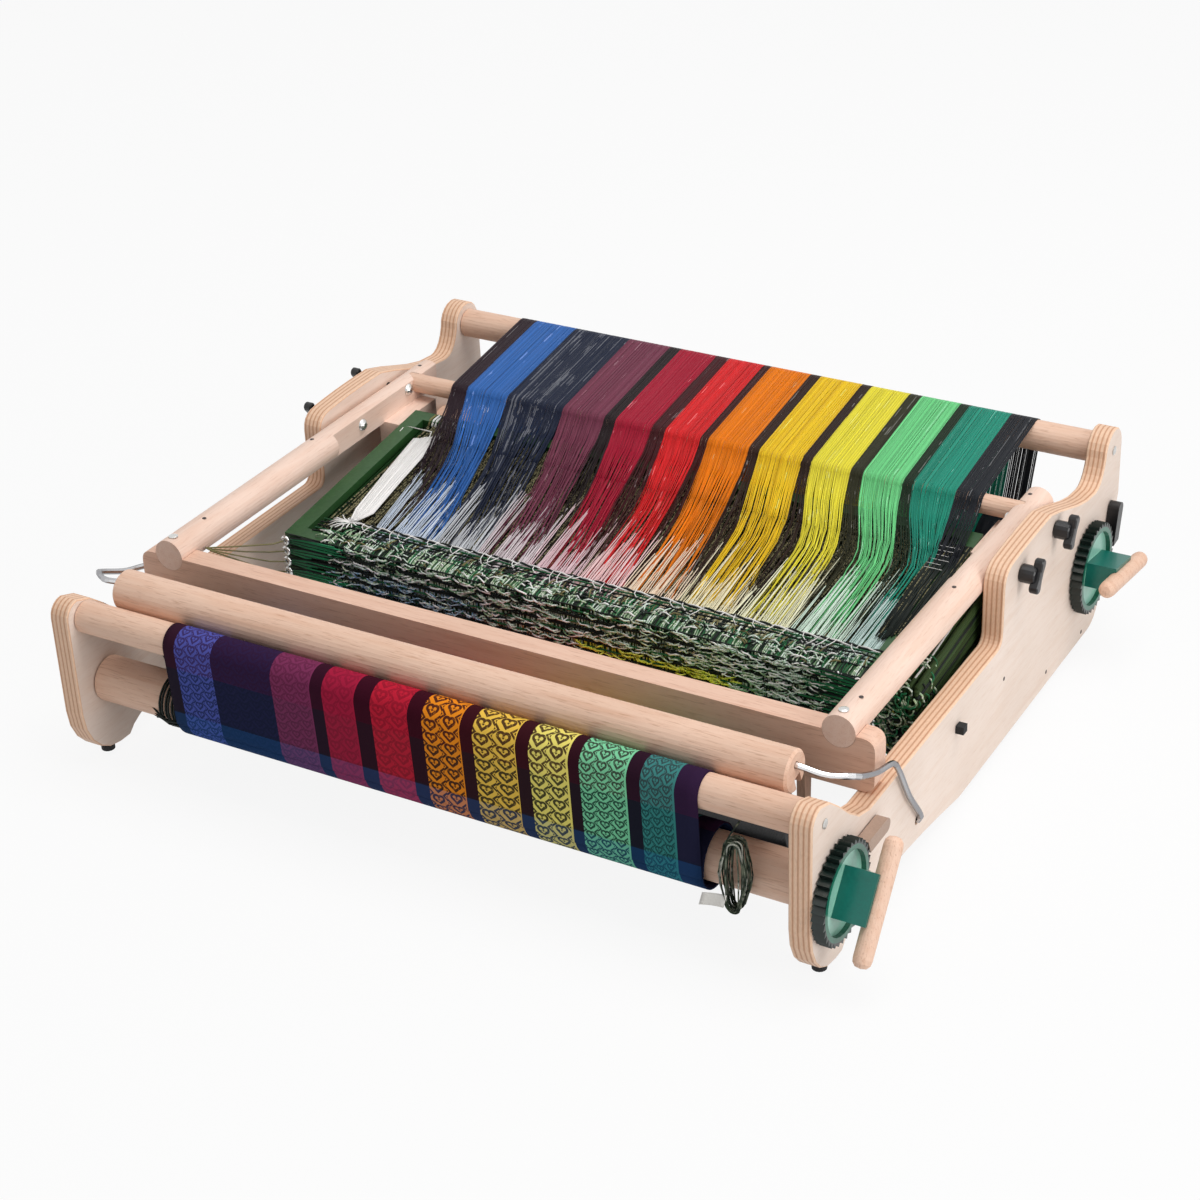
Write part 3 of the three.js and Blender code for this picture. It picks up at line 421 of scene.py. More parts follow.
# Meshes
def build(name, verts, faces, mats, body, uv=None, slots=None):
    """A smooth mesh with a UV for each vertex. It rides on a body, if one is given."""
    mesh = bpy.data.meshes.new(name)
    mesh.from_pydata([tuple(v) for v in verts], [], faces)
    for m in mats:
        mesh.materials.append(m)
    if uv is not None:
        layer = mesh.uv_layers.new(name="UVMap")
        index = np.zeros(len(mesh.loops), np.int32)
        mesh.loops.foreach_get("vertex_index", index)
        layer.data.foreach_set("uv", np.asarray(uv, np.float32)[index].ravel())
    if slots is not None:
        mesh.polygons.foreach_set("material_index", slots)
    mesh.polygons.foreach_set("use_smooth", [True] * len(mesh.polygons))
    mesh.update()
    obj = bpy.data.objects.new(name, mesh)
    scene.collection.objects.link(obj)
    if body:
        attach(obj, body)
    return obj


def circle(n, start=0.0):
    """Angles of n places round a circle."""
    return [2 * pi * (i + start) / n for i in range(n)]


def tube_faces(start, rows, n):
    """Rows of faces between closed rings of n vertices, from vertex number start."""
    faces = []
    for j in range(rows):
        for i in range(n):
            a, b = start + j * n + i, start + j * n + (i + 1) % n
            faces.append((a, b, b + n, a + n))
    return faces


class Cords:
    """Courses of round threads for one piece, each with its material's slot and its radius."""

    def __init__(self):
        self.courses = []

    def lay(self, line, slot, radius):
        self.courses.append((line, slot, radius))

    def make(self, name, mats, body=None, sides=4, slot="heddle_yarn"):
        """One mesh of all the threads, with lines in working millimetres."""
        verts, faces, uvs, which = [], [], [], []
        for line, shade, radius in self.courses:
            p = np.asarray(line, float)
            t = np.gradient(p, axis=0)
            t /= np.linalg.norm(t, axis=1)[:, None] + 1e-12
            ref = np.array([1.0, 0, 0]) if abs(t[:, 0]).max() < 0.8 else np.array([0.0, 0.05, 1.0])
            a = np.cross(t, ref)
            a /= np.linalg.norm(a, axis=1)[:, None] + 1e-12
            b = np.cross(t, a)
            base = len(verts)
            run = np.concatenate([[0], np.cumsum(np.linalg.norm(np.diff(p, axis=0), axis=1))]) / 1000
            own = rng.random()
            for j in range(len(p)):
                for w in circle(sides, 0.5):
                    verts.append(at(*(p[j] + (a[j] * cos(w) + b[j] * sin(w)) * radius)))
                    uvs.append((own, run[j]))
            faces += tube_faces(base, len(p) - 1, sides)
            last = base + (len(p) - 1) * sides
            faces.append(tuple(base + i for i in reversed(range(sides))))
            faces.append(tuple(last + i for i in range(sides)))
            which += [shade] * ((len(p) - 1) * sides + 2)
        obj = build(name, verts, faces, mats, body, uvs, which)
        return obj


def beside(axis, r, a):
    """The y and z of the point at angle a and distance r from an axis."""
    return axis[0] + r * cos(a), axis[1] + r * sin(a)


def arc(axis, r, a0, a1, n):
    """Points round an axis, in n steps from angle a0 to a1 in degrees."""
    return [beside(axis, r, radians(spread(a0, a1, i, n + 1))) for i in range(n + 1)]


def tangent_angle(c1, r1, c2, r2, side):
    """Where a thread leaves the circle c1 to run straight onto the circle c2."""
    dy, dz = c2[0] - c1[0], c2[1] - c1[1]
    return degrees(atan2(dz, dy) + side * acos((r1 - r2) / hypot(dy, dz)))


# Warp
WIDE_STRIPE = 25
# Stripes across the back beam: left edge, right edge and colour
WARP = [
    (-267, -250, (34, 14, 26)), (-248, -205, (52, 108, 184)), (-203, -145, (16, 27, 52)),
    (-143, -100, (120, 56, 78)), (-98, -88, (26, 10, 14)), (-86, -50, (172, 20, 52)),
    (-48, -36, (62, 6, 14)), (-34, 0, (222, 36, 40)), (2, 8, (60, 10, 8)),
    (10, 50, (246, 130, 4)), (52, 60, (44, 20, 8)), (62, 102, (255, 204, 36)),
    (104, 112, (38, 20, 8)), (114, 150, (246, 230, 66)), (152, 162, (40, 40, 18)),
    (164, 200, (120, 220, 144)), (200, 210, (18, 40, 20)), (212, 250, (34, 146, 122)),
    (252, 275, (20, 24, 32)),
]
WARP_ENDS = (-266, 275)
FLECKED = 2
WIDE = [k for k, (a, b, c) in enumerate(WARP) if b - a > WIDE_STRIPE]
warp_mats = [thread("warp_%02d" % k, rgb(*c), 0.28, 0.45, 0.16, 0.3, 0.26 if k == FLECKED else 0.06)
             for k, (a, b, c) in enumerate(WARP)]

# Heddle strings: white, dark, then white with a little of each wide stripe's colour
DARK_HEDDLE, FIRST_TINT = 1, 2
heddle_mats = [string_white, heddle_dark]
for number, k in enumerate(WIDE):
    tint = [0.74 * 255 + 0.26 * (60 + 0.76 * v) for v in WARP[k][2]]
    heddle_mats.append(thread("heddle_string_%02d" % number, rgb(*tint), 0.10, 0.7, 0.12, 0.12))

THREADS = 680
# Depths: where the threads leave the castle's bar, are half way and reach the shafts' front, and where the
# leads on to the heddles' eyes join on
BAR_FRONT, MIDDLE_Y, NEAR_Y, JOIN_Y = 494, 400, 292, 425
# How far right the threads are pushed there, from their place on the back beam
DRIFT = 3
MIDDLE_PUSH = ([-266, -226, -174, -121, -68, -17, 30, 82, 132, 182, 231, 275],
               [32, 33, 22, 25, 20, 22, 18, 27, 34, 37, 34, 6])
NEAR_PUSH = ([-266, -174, -121, -68, -17, 30, 82, 132, 182, 231, 275],
             [56, 47, 44, 39, 31, 31, 31, 37, 36, 30, 4])


def drift(y):
    return DRIFT * (BACK_BEAM[0] - min(y, BACK_BEAM[0])) / (BACK_BEAM[0] - BAR_FRONT)


def thread_x(x, y):
    """Across place at depth y of the thread at x on the back beam: pushed along, and bunched by colour."""
    if y >= BAR_FRONT:
        return x + drift(y)
    bunch = x
    for a, b, c in WARP:
        if a - 1 <= x <= b + 1:
            bunch = (a + b) / 2 + (x - (a + b) / 2) * (0.84 if b - a > WIDE_STRIPE else 1.7)
    middle = bunch + float(np.interp(x, *MIDDLE_PUSH))
    if y >= MIDDLE_Y:
        t = (BAR_FRONT - y) / (BAR_FRONT - MIDDLE_Y)
        return between(x + DRIFT, middle, t * t * (3 - 2 * t) * 0.6 + t * 0.4)
    near = x + float(np.interp(x, *NEAR_PUSH))
    return between(middle, near, min(1.15, (MIDDLE_Y - y) / (MIDDLE_Y - NEAR_Y)))


def over_the_beams():
    """Side view of the warp, from its roller over the back beam and the castle's bar."""
    on_roll, on_beam, on_dowel = 33.7, 14.6, 9.6
    up = tangent_angle(WARP_ROLL, on_roll, BACK_BEAM, on_beam, -1)
    over = tangent_angle(BACK_BEAM, on_beam, DOWEL, on_dowel, -1) + 360
    return (arc(WARP_ROLL, on_roll, up - 30, up, 4) + arc(BACK_BEAM, on_beam, up, over, 12)
            + arc(DOWEL, on_dowel, over, over + 64, 6))


def thread_groups():
    """Each thread's group: its first thread, its size, a shove sideways and how far back its eyes are."""
    groups = []
    while len(groups) < THREADS:
        size = pick([3, 4, 5, 6, 8])
        groups += [(len(groups), size, vary(-5, 5), rng.random())] * size
    return groups


def stripe_at(x):
    return next(k for k, (a, b, c) in enumerate(WARP) if a - 1 <= x <= b + 1)


def string_tone(x):
    """Slot of the tint of the wide stripe nearest to x."""
    near = min(WIDE, key=lambda k: abs((WARP[k][0] + WARP[k][1]) / 2 - x))
    return FIRST_TINT + WIDE.index(near)


SIDE_VIEW = over_the_beams()
# From the castle's bar down to the join: share of a thread's sway, depth and height
FALL = [(0.18, 478, 149.4), (0.3, 470.5, 146.6), (0.45, 462, 145.6), (0.7, 446, 143.0), (1.0, JOIN_Y, 139.8)]
# Heddle strings: depths of the bar's edge and the bend, the line across them, and where shafts 1 to 3 join it
EDGE_Y, BEND_Y, LINE_Y, LINE_Z, MEET_Y = 266, 276, 286, 117.4, 302.0
STRING_RADIUS, REAR_BAR_Y = 0.43, 457
backs, fronts = Cords(), Cords()
leads, strings, rear_strings = ([Cords() for k in SHAFTS] for _ in range(3))


def lay_strings(shaft, front_x, eye, tone):
    """The string from the shaft's front bar to the eye. Only the top shaft's shows in front of the line."""
    off = -2.2 if rng.random() < 0.3 else 1.0
    course = []
    for t in (0.0, 0.13, 0.56, 1.0):
        z = LINE_Z - 0.5 * shaft + (eye[2] - LINE_Z + 0.5 * shaft) * t + off * min(1, t * 4)
        course.append((between(front_x, eye[0], t), between(LINE_Y, eye[1] + 6, t), z))
    bar = shaft_z(shaft, 268)
    if shaft == 0:
        rise = [(front_x, EDGE_Y, bar + 1.5), (front_x, BEND_Y, between(bar, LINE_Z, 0.75))]
        strings[0].lay(rise + course, tone, STRING_RADIUS)
        return
    top = shaft_z(0, 268) + 1.5
    meet = tuple(np.interp(MEET_Y, [p[1] for p in course], [p[q] for p in course]) for q in range(3))
    strings[0].lay([(front_x, EDGE_Y, top), (front_x, BEND_Y, between(top, LINE_Z, 0.75)), course[0], meet],
                   tone, STRING_RADIUS)
    strings[shaft].lay([(front_x, EDGE_Y, bar + 1.5), (front_x, 294, shaft_z(shaft, 294) + 1.5), meet]
                       + [p for p in course if p[1] > MEET_Y + 4], tone, STRING_RADIUS)


def lay_thread(i, first, size, shove, tall):
    """Warp thread i, from the roller to its heddle's eye and on through the reed, with its heddle strings."""
    x = spread(*WARP_ENDS, i, THREADS)
    group_x = spread(*WARP_ENDS, first + (size - 1) / 2, THREADS)
    shade, shaft = stripe_at(x), (i * 3 + i // 5) % 4
    ye = (298 if shaft == 0 else 309) + 96 * (0.78 * tall + 0.22 * rng.random())
    lift = vary(-1.0, 1.6)
    jig = vary(-0.3, 0.3)
    sway = vary(-1.5, 1.5)
    line = [(x + jig + drift(y), y, z + vary(-0.1, 0.12)) for y, z in SIDE_VIEW]
    for s, y, z in FALL:
        line.append((thread_x(x, y) + jig + sway * s, y, z + max(-0.4, lift) * s + 0.3))
    backs.lay(line, shade, 0.52)
    xe = between(thread_x(group_x, ye), thread_x(x, ye), 0.5) + jig + sway * 0.4
    ze = shaft_z(0, ye) + 1.6 - 1.4 * shaft
    # On to the eye, then down to the line between the heddle strings
    lead = [line[-1]]
    for t in (0.3, 0.6, 0.85):
        y = between(JOIN_Y, ye, t)
        z = between(line[-1][2], ze, t) - 1.2 * sin(pi * t)
        lead.append((thread_x(x, y) + jig + sway * (1 - 0.6 * t), y, z))
    xf = (xe + (thread_x(x, 287) - thread_x(x, ye)) * 0.55 + (x - group_x) * 0.7 + shove * 0.45
          + vary(-0.9, 0.9))
    near_y = 292 if shaft == 0 else 303
    lead += [(xe, ye, ze), ((xe + xf) / 2 + sway * 0.6, (ye + near_y) / 2, (ze + 115) / 2),
             (xf + sway, near_y, 115.4)]
    leads[shaft].lay(lead, shade, 0.44)
    lay_strings(shaft, xf, (xe, ye, ze), string_tone(x))
    if i % 2 == 0:
        xr, ym = spread(-258, 258, i, THREADS), (ye + REAR_BAR_Y) / 2
        rear_strings[shaft].lay([
            (xe, ye + 7, ze - 2.0), (between(xe, xr, 0.5), ym, shaft_z(shaft, ym) - 1.5 + 0.6 * shaft),
            (xr, REAR_BAR_Y, shaft_z(shaft, REAR_BAR_Y)),
        ], DARK_HEDDLE, 0.5)
    # Forward of the eye: down between the shafts, forward under them and through the reed
    xc = spread(-234, 252, i, THREADS)
    fronts.lay([
        (xe, ye, ze), (xe + 1, ye - 14, ze - 10), (between(xe, xc, 0.3), ye - 40, 78 + vary(-5, 5)),
        (between(xe, xc, 0.6), 252, 59 + vary(-1.5, 1.5)),
        (xc, 224, 57), (xc, 150, 80.5), (xc, 96, 99), (xc, 59, 112),
    ], shade, 0.44)


def idle_heddles(k):
    """Heddles without a thread, from the front bar to the rear bar of shaft k."""
    idle, count = Cords(), 190
    for j in range(count):
        x = spread(-268, 268, j, count) + vary(-0.8, 0.8)
        bend = vary(-2.5, 2.5)
        drop = -2.4 if k == 0 else vary(-1.2, 1.2)
        idle.lay([
            (x, 264, shaft_z(k, 264) + drop * 0.4), (x + bend, 310, shaft_z(k, 310) + drop),
            (x - bend, 400, shaft_z(k, 400) + drop), (x, 458, shaft_z(k, 458) + drop * 0.4),
        ], DARK_HEDDLE, 1.05 if k else 0.8)
    return idle


for i, group in enumerate(thread_groups()[:THREADS]):
    lay_thread(i, *group)
back = backs.make("warp_threads", warp_mats, slot="warp")
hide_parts("warp_back_span")
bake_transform(back)
front = fronts.make("warp_under_threads", warp_mats, sides=3, slot="warp")
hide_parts("warp_front_span")
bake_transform(front)
for k in SHAFTS:
    body = shaft_body(k)
    lead = leads[k].make(numbered("warp_leads", k), warp_mats, slot="warp")
    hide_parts("warp_back_span")
    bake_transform(lead)
    strings[k].courses += rear_strings[k].courses + idle_heddles(k).courses
    white = strings[k].make(numbered("heddle_strings", k), heddle_mats, body)
    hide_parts(numbered("heddle_set", k))


# Loops and cords at the shafts' front bars
LOOP_TONES = {
    "green": [(70, 110, 80), (132, 174, 136), (176, 200, 160), (250, 252, 240), (96, 140, 104)],
    "pale": [(132, 172, 142), (202, 228, 204), (248, 255, 250), (166, 196, 168)],
    "blue": [(70, 104, 128), (140, 180, 210), (220, 232, 240), (84, 124, 134)],
    "yellow": [(160, 180, 50), (236, 244, 80), (255, 255, 130), (180, 196, 70)],
    "rust": [(112, 72, 56), (206, 144, 84), (240, 210, 164), (122, 104, 76)],
}
tie_mats = [mottled("loops_" + colour, tones) for colour, tones in LOOP_TONES.items()] + [
    thread("cord_green", rgb(34, 104, 62), 0.4, 0.5, 0.2, 0.45),
    thread("cord_dark", rgb(18, 27, 23), 0.3, 0.5, 0.15, 0.4),
    thread("cord_olive", rgb(132, 124, 84), 0.35, 0.7, 0.15, 0.5),
    string_white,
    thread("cord_moss", rgb(50, 70, 34), 0.35, 0.6, 0.15, 0.5),
    thread("cord_bright", rgb(22, 120, 74), 0.4, 0.45, 0.25, 0.45),
]
(GREEN_LOOP, PALE_LOOP, BLUE_LOOP, YELLOW_LOOP, RUST_LOOP, GREEN, DARK, OLIVE, WHITE_TIE, MOSS,
 BRIGHT) = range(len(tie_mats))
cord_dark, cord_olive = tie_mats[DARK], tie_mats[OLIVE]


def bar_point(k, s, off):
    """Depth and height round shaft k's front bar: s runs 0 to 1 from under it, up its front to its top."""
    # Depth, height from the bar's middle, and the way out from its surface there
    corners = [(262, -4.0, 0, -1), (251.5, -4.0, 0, -1), (250.5, -3.2, -1, 0), (250.5, 3.2, -1, 0),
               (251.6, 4.0, 0, 1), (267.0, 4.0, 0, 1), (269.5, 1.5, 1, 1)]
    t = s * (len(corners) - 1)
    j = min(int(t), len(corners) - 2)
    y, z, out_y, out_z = (between(a, b, t - j) for a, b in zip(corners[j], corners[j + 1]))
    return y + out_y * off, z + bar_z(k) + (y - BAR_Y) * tan(LEAN) + out_z * off


def ripples(n, most=0.8):
    return [vary(-most, most) for _ in range(n)]


def loop_slot(k, x, share):
    """Colour of a loop, by shaft and place, from its own random share."""
    # The lower shafts take many more pale loops than the top one: painted light, so that their bars, in shade
    # under the one above, look as lit as the top bar
    slot = PALE_LOOP if share < (0.14, 0.6, 0.65, 0.65)[k] else GREEN_LOOP
    if k == 0 and share > 0.5:
        slot = GREEN if share > 0.86 else DARK
    if k >= 2 and -215 < x < -70 and share > 0.4:
        slot = BLUE_LOOP
    if k == 3 and 10 < x < 170 and share > 0.15:
        slot = YELLOW_LOOP
    if k == 3 and -70 < x < 10 and share > 0.6:
        slot = RUST_LOOP
    return slot


def end_slot(k, x):
    """Colour of a loose end, by shaft and place."""
    if k == 3 and 10 < x < 160:
        return YELLOW_LOOP
    if k >= 2 and x < -90 and rng.random() < 0.5:
        return BLUE_LOOP
    if rng.random() < 0.3:
        return WHITE_TIE
    return pick([PALE_LOOP, PALE_LOOP, PALE_LOOP, GREEN_LOOP, GREEN_LOOP, DARK])


def lay_loops(cords, k):
    """Loops round the bar, the cords along it and loose ends in front of it."""
    loops, ends, ends_all_along, bends = 300 if k == 0 else 230, 220, 170, 70
    for j in range(loops):
        x = spread(-248, 286, j + vary(-0.5, 0.5), loops)
        slot = loop_slot(k, x, rng.random())
        tilt = vary(-4.5, 4.5)
        size = vary(0.55, 1.1)
        cords.lay([(x + tilt * (q - 0.5) + vary(-0.5, 0.5), *bar_point(k, q, size))
                   for q in (0.1, 0.25, 0.36, 0.5, 0.62, 0.72, 0.86, 1.0)], slot, vary(0.5, 0.8))
    for row, slot in ((-4.6, DARK), (-0.2, GREEN), (4.4, DARK)):
        cords.lay([(spread(-284, 284, q, bends), 248.4 - abs(w) * 0.6, bar_z(k) + row + w * 0.7)
                   for q, w in enumerate(ripples(bends))], slot, 0.75)
    for j in range(ends):
        x = vary(-246, 278) if j < ends_all_along else vary(120, 282)
        z = bar_z(k) + vary(-3.4, 3.4)
        dx, dz = pick([-1, 1, 1]) * vary(5, 15), vary(-4, 4)
        cords.lay([
            (x, 248.6, z), (x + dx * 0.3, 247.2 - rng.random(), z + dz * 0.5 + vary(-1.4, 1.4)),
            (x + dx * 0.7, 247.0 - rng.random(), z + dz * 0.8 + vary(-1.4, 1.4)),
            (x + dx, 248.4, z + dz),
        ], end_slot(k, x), vary(0.5, 0.85))


def lay_under_ends(cords):
    """Ends and cords that hang under the lowest bar."""
    ends, bends = 300, 60
    for j in range(ends):
        x = vary(-270, 278)
        dx = vary(-7, 7)
        cords.lay([
            (x, 256, 78), (x + dx * 0.4, 251.5, 73 + rng.random()),
            (x + dx, 253 + 3 * rng.random(), 65 + 3 * rng.random()),
        ], pick([GREEN_LOOP, GREEN, DARK, DARK, PALE_LOOP]), vary(0.6, 1.0))
    for row in range(5):
        cords.lay([(spread(-276, 284, q, bends), 253.5 + abs(w), 75 - 2.6 * row + w * 0.5)
                   for q, w in enumerate(ripples(bends))], DARK if row % 2 else MOSS, 1.3)


def lay_top_ends(cords):
    """Ends that stand up on the top bar."""
    for j in range(170):
        x = vary(-250, 278)
        y = vary(251, 266)
        dx, dy = pick([-1, 1, 1]) * vary(3, 12), vary(-5, 6)
        top = shaft_z(0, y) + 5.4
        line = [(x, y, top), (x + dx * 0.5, y + dy * 0.6, top + 1.2 + rng.random()),
                (x + dx, y + dy, top + 0.12 * dy)]
        slot = WHITE_TIE if rng.random() < 0.25 else pick([PALE_LOOP, PALE_LOOP, GREEN_LOOP, OLIVE, DARK])
        cords.lay(line, slot, vary(0.5, 0.8))


def cord_line():
    """What lies between the top shaft's bar and the twisted line across the strings, and the line itself."""
    cords = Cords()
    laid, bends, twist_steps, steps_a_turn = 230, 40, 130, 6.5
    z = shaft_z(0, 268) + 4.4
    for j in range(laid):
        x = spread(-250, 274, j + vary(-0.4, 0.4), laid)
        dx = vary(-9, 9)
        cords.lay([(x, 262, z - 0.8), (x + dx * 0.4, 270, z + 0.8 + rng.random()), (x + dx, 285, 117.6)],
                  pick([GREEN, DARK, DARK, GREEN_LOOP, PALE_LOOP, OLIVE, DARK]), vary(0.5, 0.8))
    for j, slot in enumerate((DARK, GREEN, DARK, DARK, GREEN)):
        y = 262.5 + 4.6 * j
        cords.lay([(spread(-268, 277, q, bends), y + w, shaft_z(0, y) + 4.6 + abs(w) * 0.5)
                   for q, w in enumerate(ripples(bends, 1))], slot, 0.8)
    for start, slot, radius in ((0.0, WHITE_TIE, 0.75), (pi, DARK, 1.0)):
        turns = [start + 2 * pi * q / steps_a_turn for q in range(twist_steps)]
        cords.lay([(spread(-237, 281, q, twist_steps), 286 + 1.0 * cos(a), 120.4 + 0.8 * sin(a))
                   for q, a in enumerate(turns)], slot, radius)
    x = -228
    while x < 262:
        w, drop = pick([-1, 1]) * vary(4, 12), vary(5, 18)
        cords.lay([
            (x, 287, 121.4), (x + w * 0.2, 285 - drop * 0.45, 120.8 + rng.random()),
            (x + w * 0.8, 286 - drop, 119.4), (x + w * vary(0.9, 1.6), 287 - drop * vary(0.5, 1.1), 119.6),
        ], WHITE_TIE, 0.46)
        x += vary(6, 20)
    cords.make("cord_line", tie_mats, "shaft_1")


for k in SHAFTS:
    loops = Cords()
    lay_loops(loops, k)
    if k == 3:
        lay_under_ends(loops)
    if k == 0:
        lay_top_ends(loops)
    loops.make(numbered("bar_loops", k), tie_mats, shaft_body(k))
cord_line()


# Screw eyes on the shafts' front corners, and the cords at them
EYE_X = 285.5


def eye_z(k):
    return bar_z(k) - 1.4


def screw_eye(name, x, z, body):
    """A ring on edge in front of the bar, with a short shank into it."""
    ring_radius, wire_radius, ring_y, around, section, shank_sides = 2.9, 1.9, 245.9, 20, 8, 12
    verts, uvs = [], []
    for i, a in enumerate(circle(around)):
        for j, b in enumerate(circle(section)):
            r = ring_radius + wire_radius * cos(b)
            verts.append(at(x + r * cos(a), ring_y + wire_radius * sin(b), z + r * sin(a)))
            uvs.append((i / around, j / section))
    total = len(verts)
    faces = [tuple(v % total for v in face) for face in tube_faces(0, around, section)]
    for i, a in enumerate(circle(shank_sides)):
        for j, y in enumerate((247.2, 251.5)):
            verts.append(at(x + 1.3 * cos(a), y, z + 1.3 * sin(a)))
            uvs.append((i / shank_sides, j))
        q, w = total + 2 * i, total + 2 * ((i + 1) % shank_sides)
        faces.append((q, q + 1, w + 1, w))
    build(name, verts, faces, [steel], body, uvs)


def eye_cords(side, edge, k):
    """Nine cords that fan out from the eye to the loops."""
    cords = Cords()
    z = eye_z(k)
    for j in range(9):
        end = side * (262 - 46 * rng.random())
        fan_z = bar_z(k) + (4 - j) * 1.05
        cords.lay([
            (side * EYE_X, 247.2, z + 0.5 * (4 - j)), (side * 276, 246.4, between(z, fan_z, 0.7)),
            (side * 266, 246.0, fan_z), (end, 247.0, fan_z + vary(-1, 1)),
        ], BRIGHT if j % 3 else DARK, 0.72)
    cords.make(numbered("eye_cords_" + edge, k), tie_mats, shaft_body(k), 5)


def lift_cord(side, edge, k):
    """The cord from the eye up to the shaft's lever."""
    cords = Cords()
    z = eye_z(k)
    x, y, top = side * (297.5 - 0.8 * k), 149.5 + k, 147.5 - 1.2 * k
    cords.lay([
        (x, y, top), (side * (294 + 0.5 * k), 200, (top + z) / 2 - 3.5),
        (side * (288 if k == 0 else 293.4 + 0.4 * k), 230, between(z, top, 0.1)),
        (side * (EYE_X + 2), 244.2, z),
    ], 0, 0.7)
    lift = cords.make(numbered("lift_cord_" + edge, k), [cord_olive], sides=6)
    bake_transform(lift)


for side, edge in ((-1, "left"), (1, "right")):
    for k in SHAFTS:
        screw_eye(numbered("screw_eye_" + edge, k), side * 286.5, eye_z(k), shaft_body(k))
    for k in SHAFTS:
        eye_cords(side, edge, k)
        lift_cord(side, edge, k)


# Tie cords that run beside the shafts at the right, with loose loops at their front end
def lay_long_ties(cords):
    depths = [252, 285, 310, 335, 360, 390, 415, 439]
    for row in range(22):
        for col in range(4):
            z, x = 117.5 - 3.3 * row, 322.5 - 5.6 * col
            w = ripples(len(depths), 0.7)
            xs = np.interp(depths, [252, 400, 439], [x, x, min(x, 311)])
            # The top row dips at its back end, under the post's guide board
            dip = [4 * (y > 430) if row == 0 else 0 for y in depths]
            line = [(xs[q] + w[q], y, z + (y - 262) * 0.11 + w[-1 - q] - dip[q])
                    for q, y in enumerate(depths)]
            dark = row > 12 or (col == 0 and row % 4 == 3)
            cords.lay(line, DARK if dark else MOSS, vary(1.8, 2.3))
    for row in range(9):
        for col in range(5):
            z, y = 79 - 4.2 * row, 262 + 5 * col
            cords.lay([(x, y + vary(-1, 1), z + up) for x, up in ((280, 0.5), (300, -0.5), (325, 0))],
                      DARK if (row + col) % 3 else MOSS, 2.5)
    cords.lay([(317, 262, 119.8), (317.5, 290, 122.0), (317, 330, 126.6), (316, 362, 130.2)], WHITE_TIE, 0.9)


def lay_tangle(cords):
    for j in range(330):
        y, x = vary(243, 290), vary(290, 322)
        z = 121 - 62 * rng.random()
        r = vary(3, 8)
        start, tip = vary(0, 6.28), vary(-0.6, 0.6)
        steps = pick([5, 6, 8])
        loop = []
        for q in range(steps + 1):
            a = start + 4.0 * q / steps
            inside = min(326, max(289, x + r * cos(a)))
            loop.append((inside, y + r * 0.5 * sin(a) * tip, z + r * sin(a)))
        slot = pick([GREEN, GREEN, GREEN_LOOP, GREEN_LOOP, BRIGHT, PALE_LOOP, DARK,
                     YELLOW_LOOP if z < 84 else GREEN_LOOP])
        cords.lay(loop, slot, vary(0.6, 1.0))


side_ties = Cords()
lay_long_ties(side_ties)
lay_tangle(side_ties)
side_ties.make("side_cords", tie_mats, "castle", 5)


def spare_heddles():
    """Spare heddles laid flat at the left, tied at their front end, and dark threads laid at the right."""
    cords = Cords()
    white, dark, mixed = range(3)
    whites, darks = 44, 46
    for j in range(whites):
        t = spread(0, 1, j, whites)
        x0, x1, y1 = -250 + 19 * t, -265 + 23 * t, 426 + 14 * t
        cords.lay([
            (-242 + 4 * (t - 0.5), 288, 119.4 + rng.random()), (x0, 306, 121.8 + rng.random()),
            ((x0 + x1) / 2, 362, 128.4 + rng.random()), (x1, y1, shaft_z(0, y1) + 2.6 + rng.random()),
        ], white, 0.62)
    for a in circle(15):
        cords.lay([
            (-242, 286, 120), (-245 + 9 * cos(a), 282 + 6 * sin(a), 121 + vary(0, 2)),
            (-246 + 17 * cos(a) * vary(0.7, 1), 281 + 12 * sin(a), 119.5 + vary(0, 3)),
        ], white, 0.62)
    corner = (-284.6, 442.5, 139)
    cords.lay([corner, (-253.9, 441.2, 139.6), (-247.5, 424, 138), (-247.9, 424.2, 138)], white, 0.62)
    cords.lay([corner, (-283.8, 432, 138)], white, 0.62)
    for j in range(darks):
        t = spread(0, 1, j, darks)
        y0, y1 = 300 + 26 * rng.random(), 446
        x0, x1 = 264 + 25 * t, 262 + 28 * t
        mid = (x0 + x1) / 2 + vary(-2, 2)
        cords.lay([
            (x0, y0, shaft_z(0, y0) + 4.8), (mid, 372, shaft_z(0, 372) + 5.6 + rng.random()),
            (x1, y1, shaft_z(0, y1) + 5.0),
        ], dark if j % 5 else mixed, 0.75)
    for j in range(6):
        y = 404 + 6.6 * j
        x = 263 + 3 * rng.random()
        cords.lay([(x, y, shaft_z(0, y) + 7.0),
                   (x + vary(12, 20), y + vary(-0.6, 0.6), shaft_z(0, y) + 7.2)], white, 0.26)
    cords.make("spare_heddles", [string_white, cord_dark, heddle_dark], "shaft_1")


def rear_loops(k):
    """Cream loops left on the rear bar, beside the warp."""
    cords = Cords()
    z = shaft_z(k, 463)
    for j in range(9):
        x = -267 + 3.6 * j
        cords.lay([(x, 457.5, z - 3.6), (x + 0.5, 456.0, z), (x + 1, 459, z + 4.4), (x + 1.5, 468, z + 5.2)],
                  WHITE_TIE if j % 3 else OLIVE, 1.1)
    cords.make(numbered("rear_loops", k), tie_mats, shaft_body(k), 5)


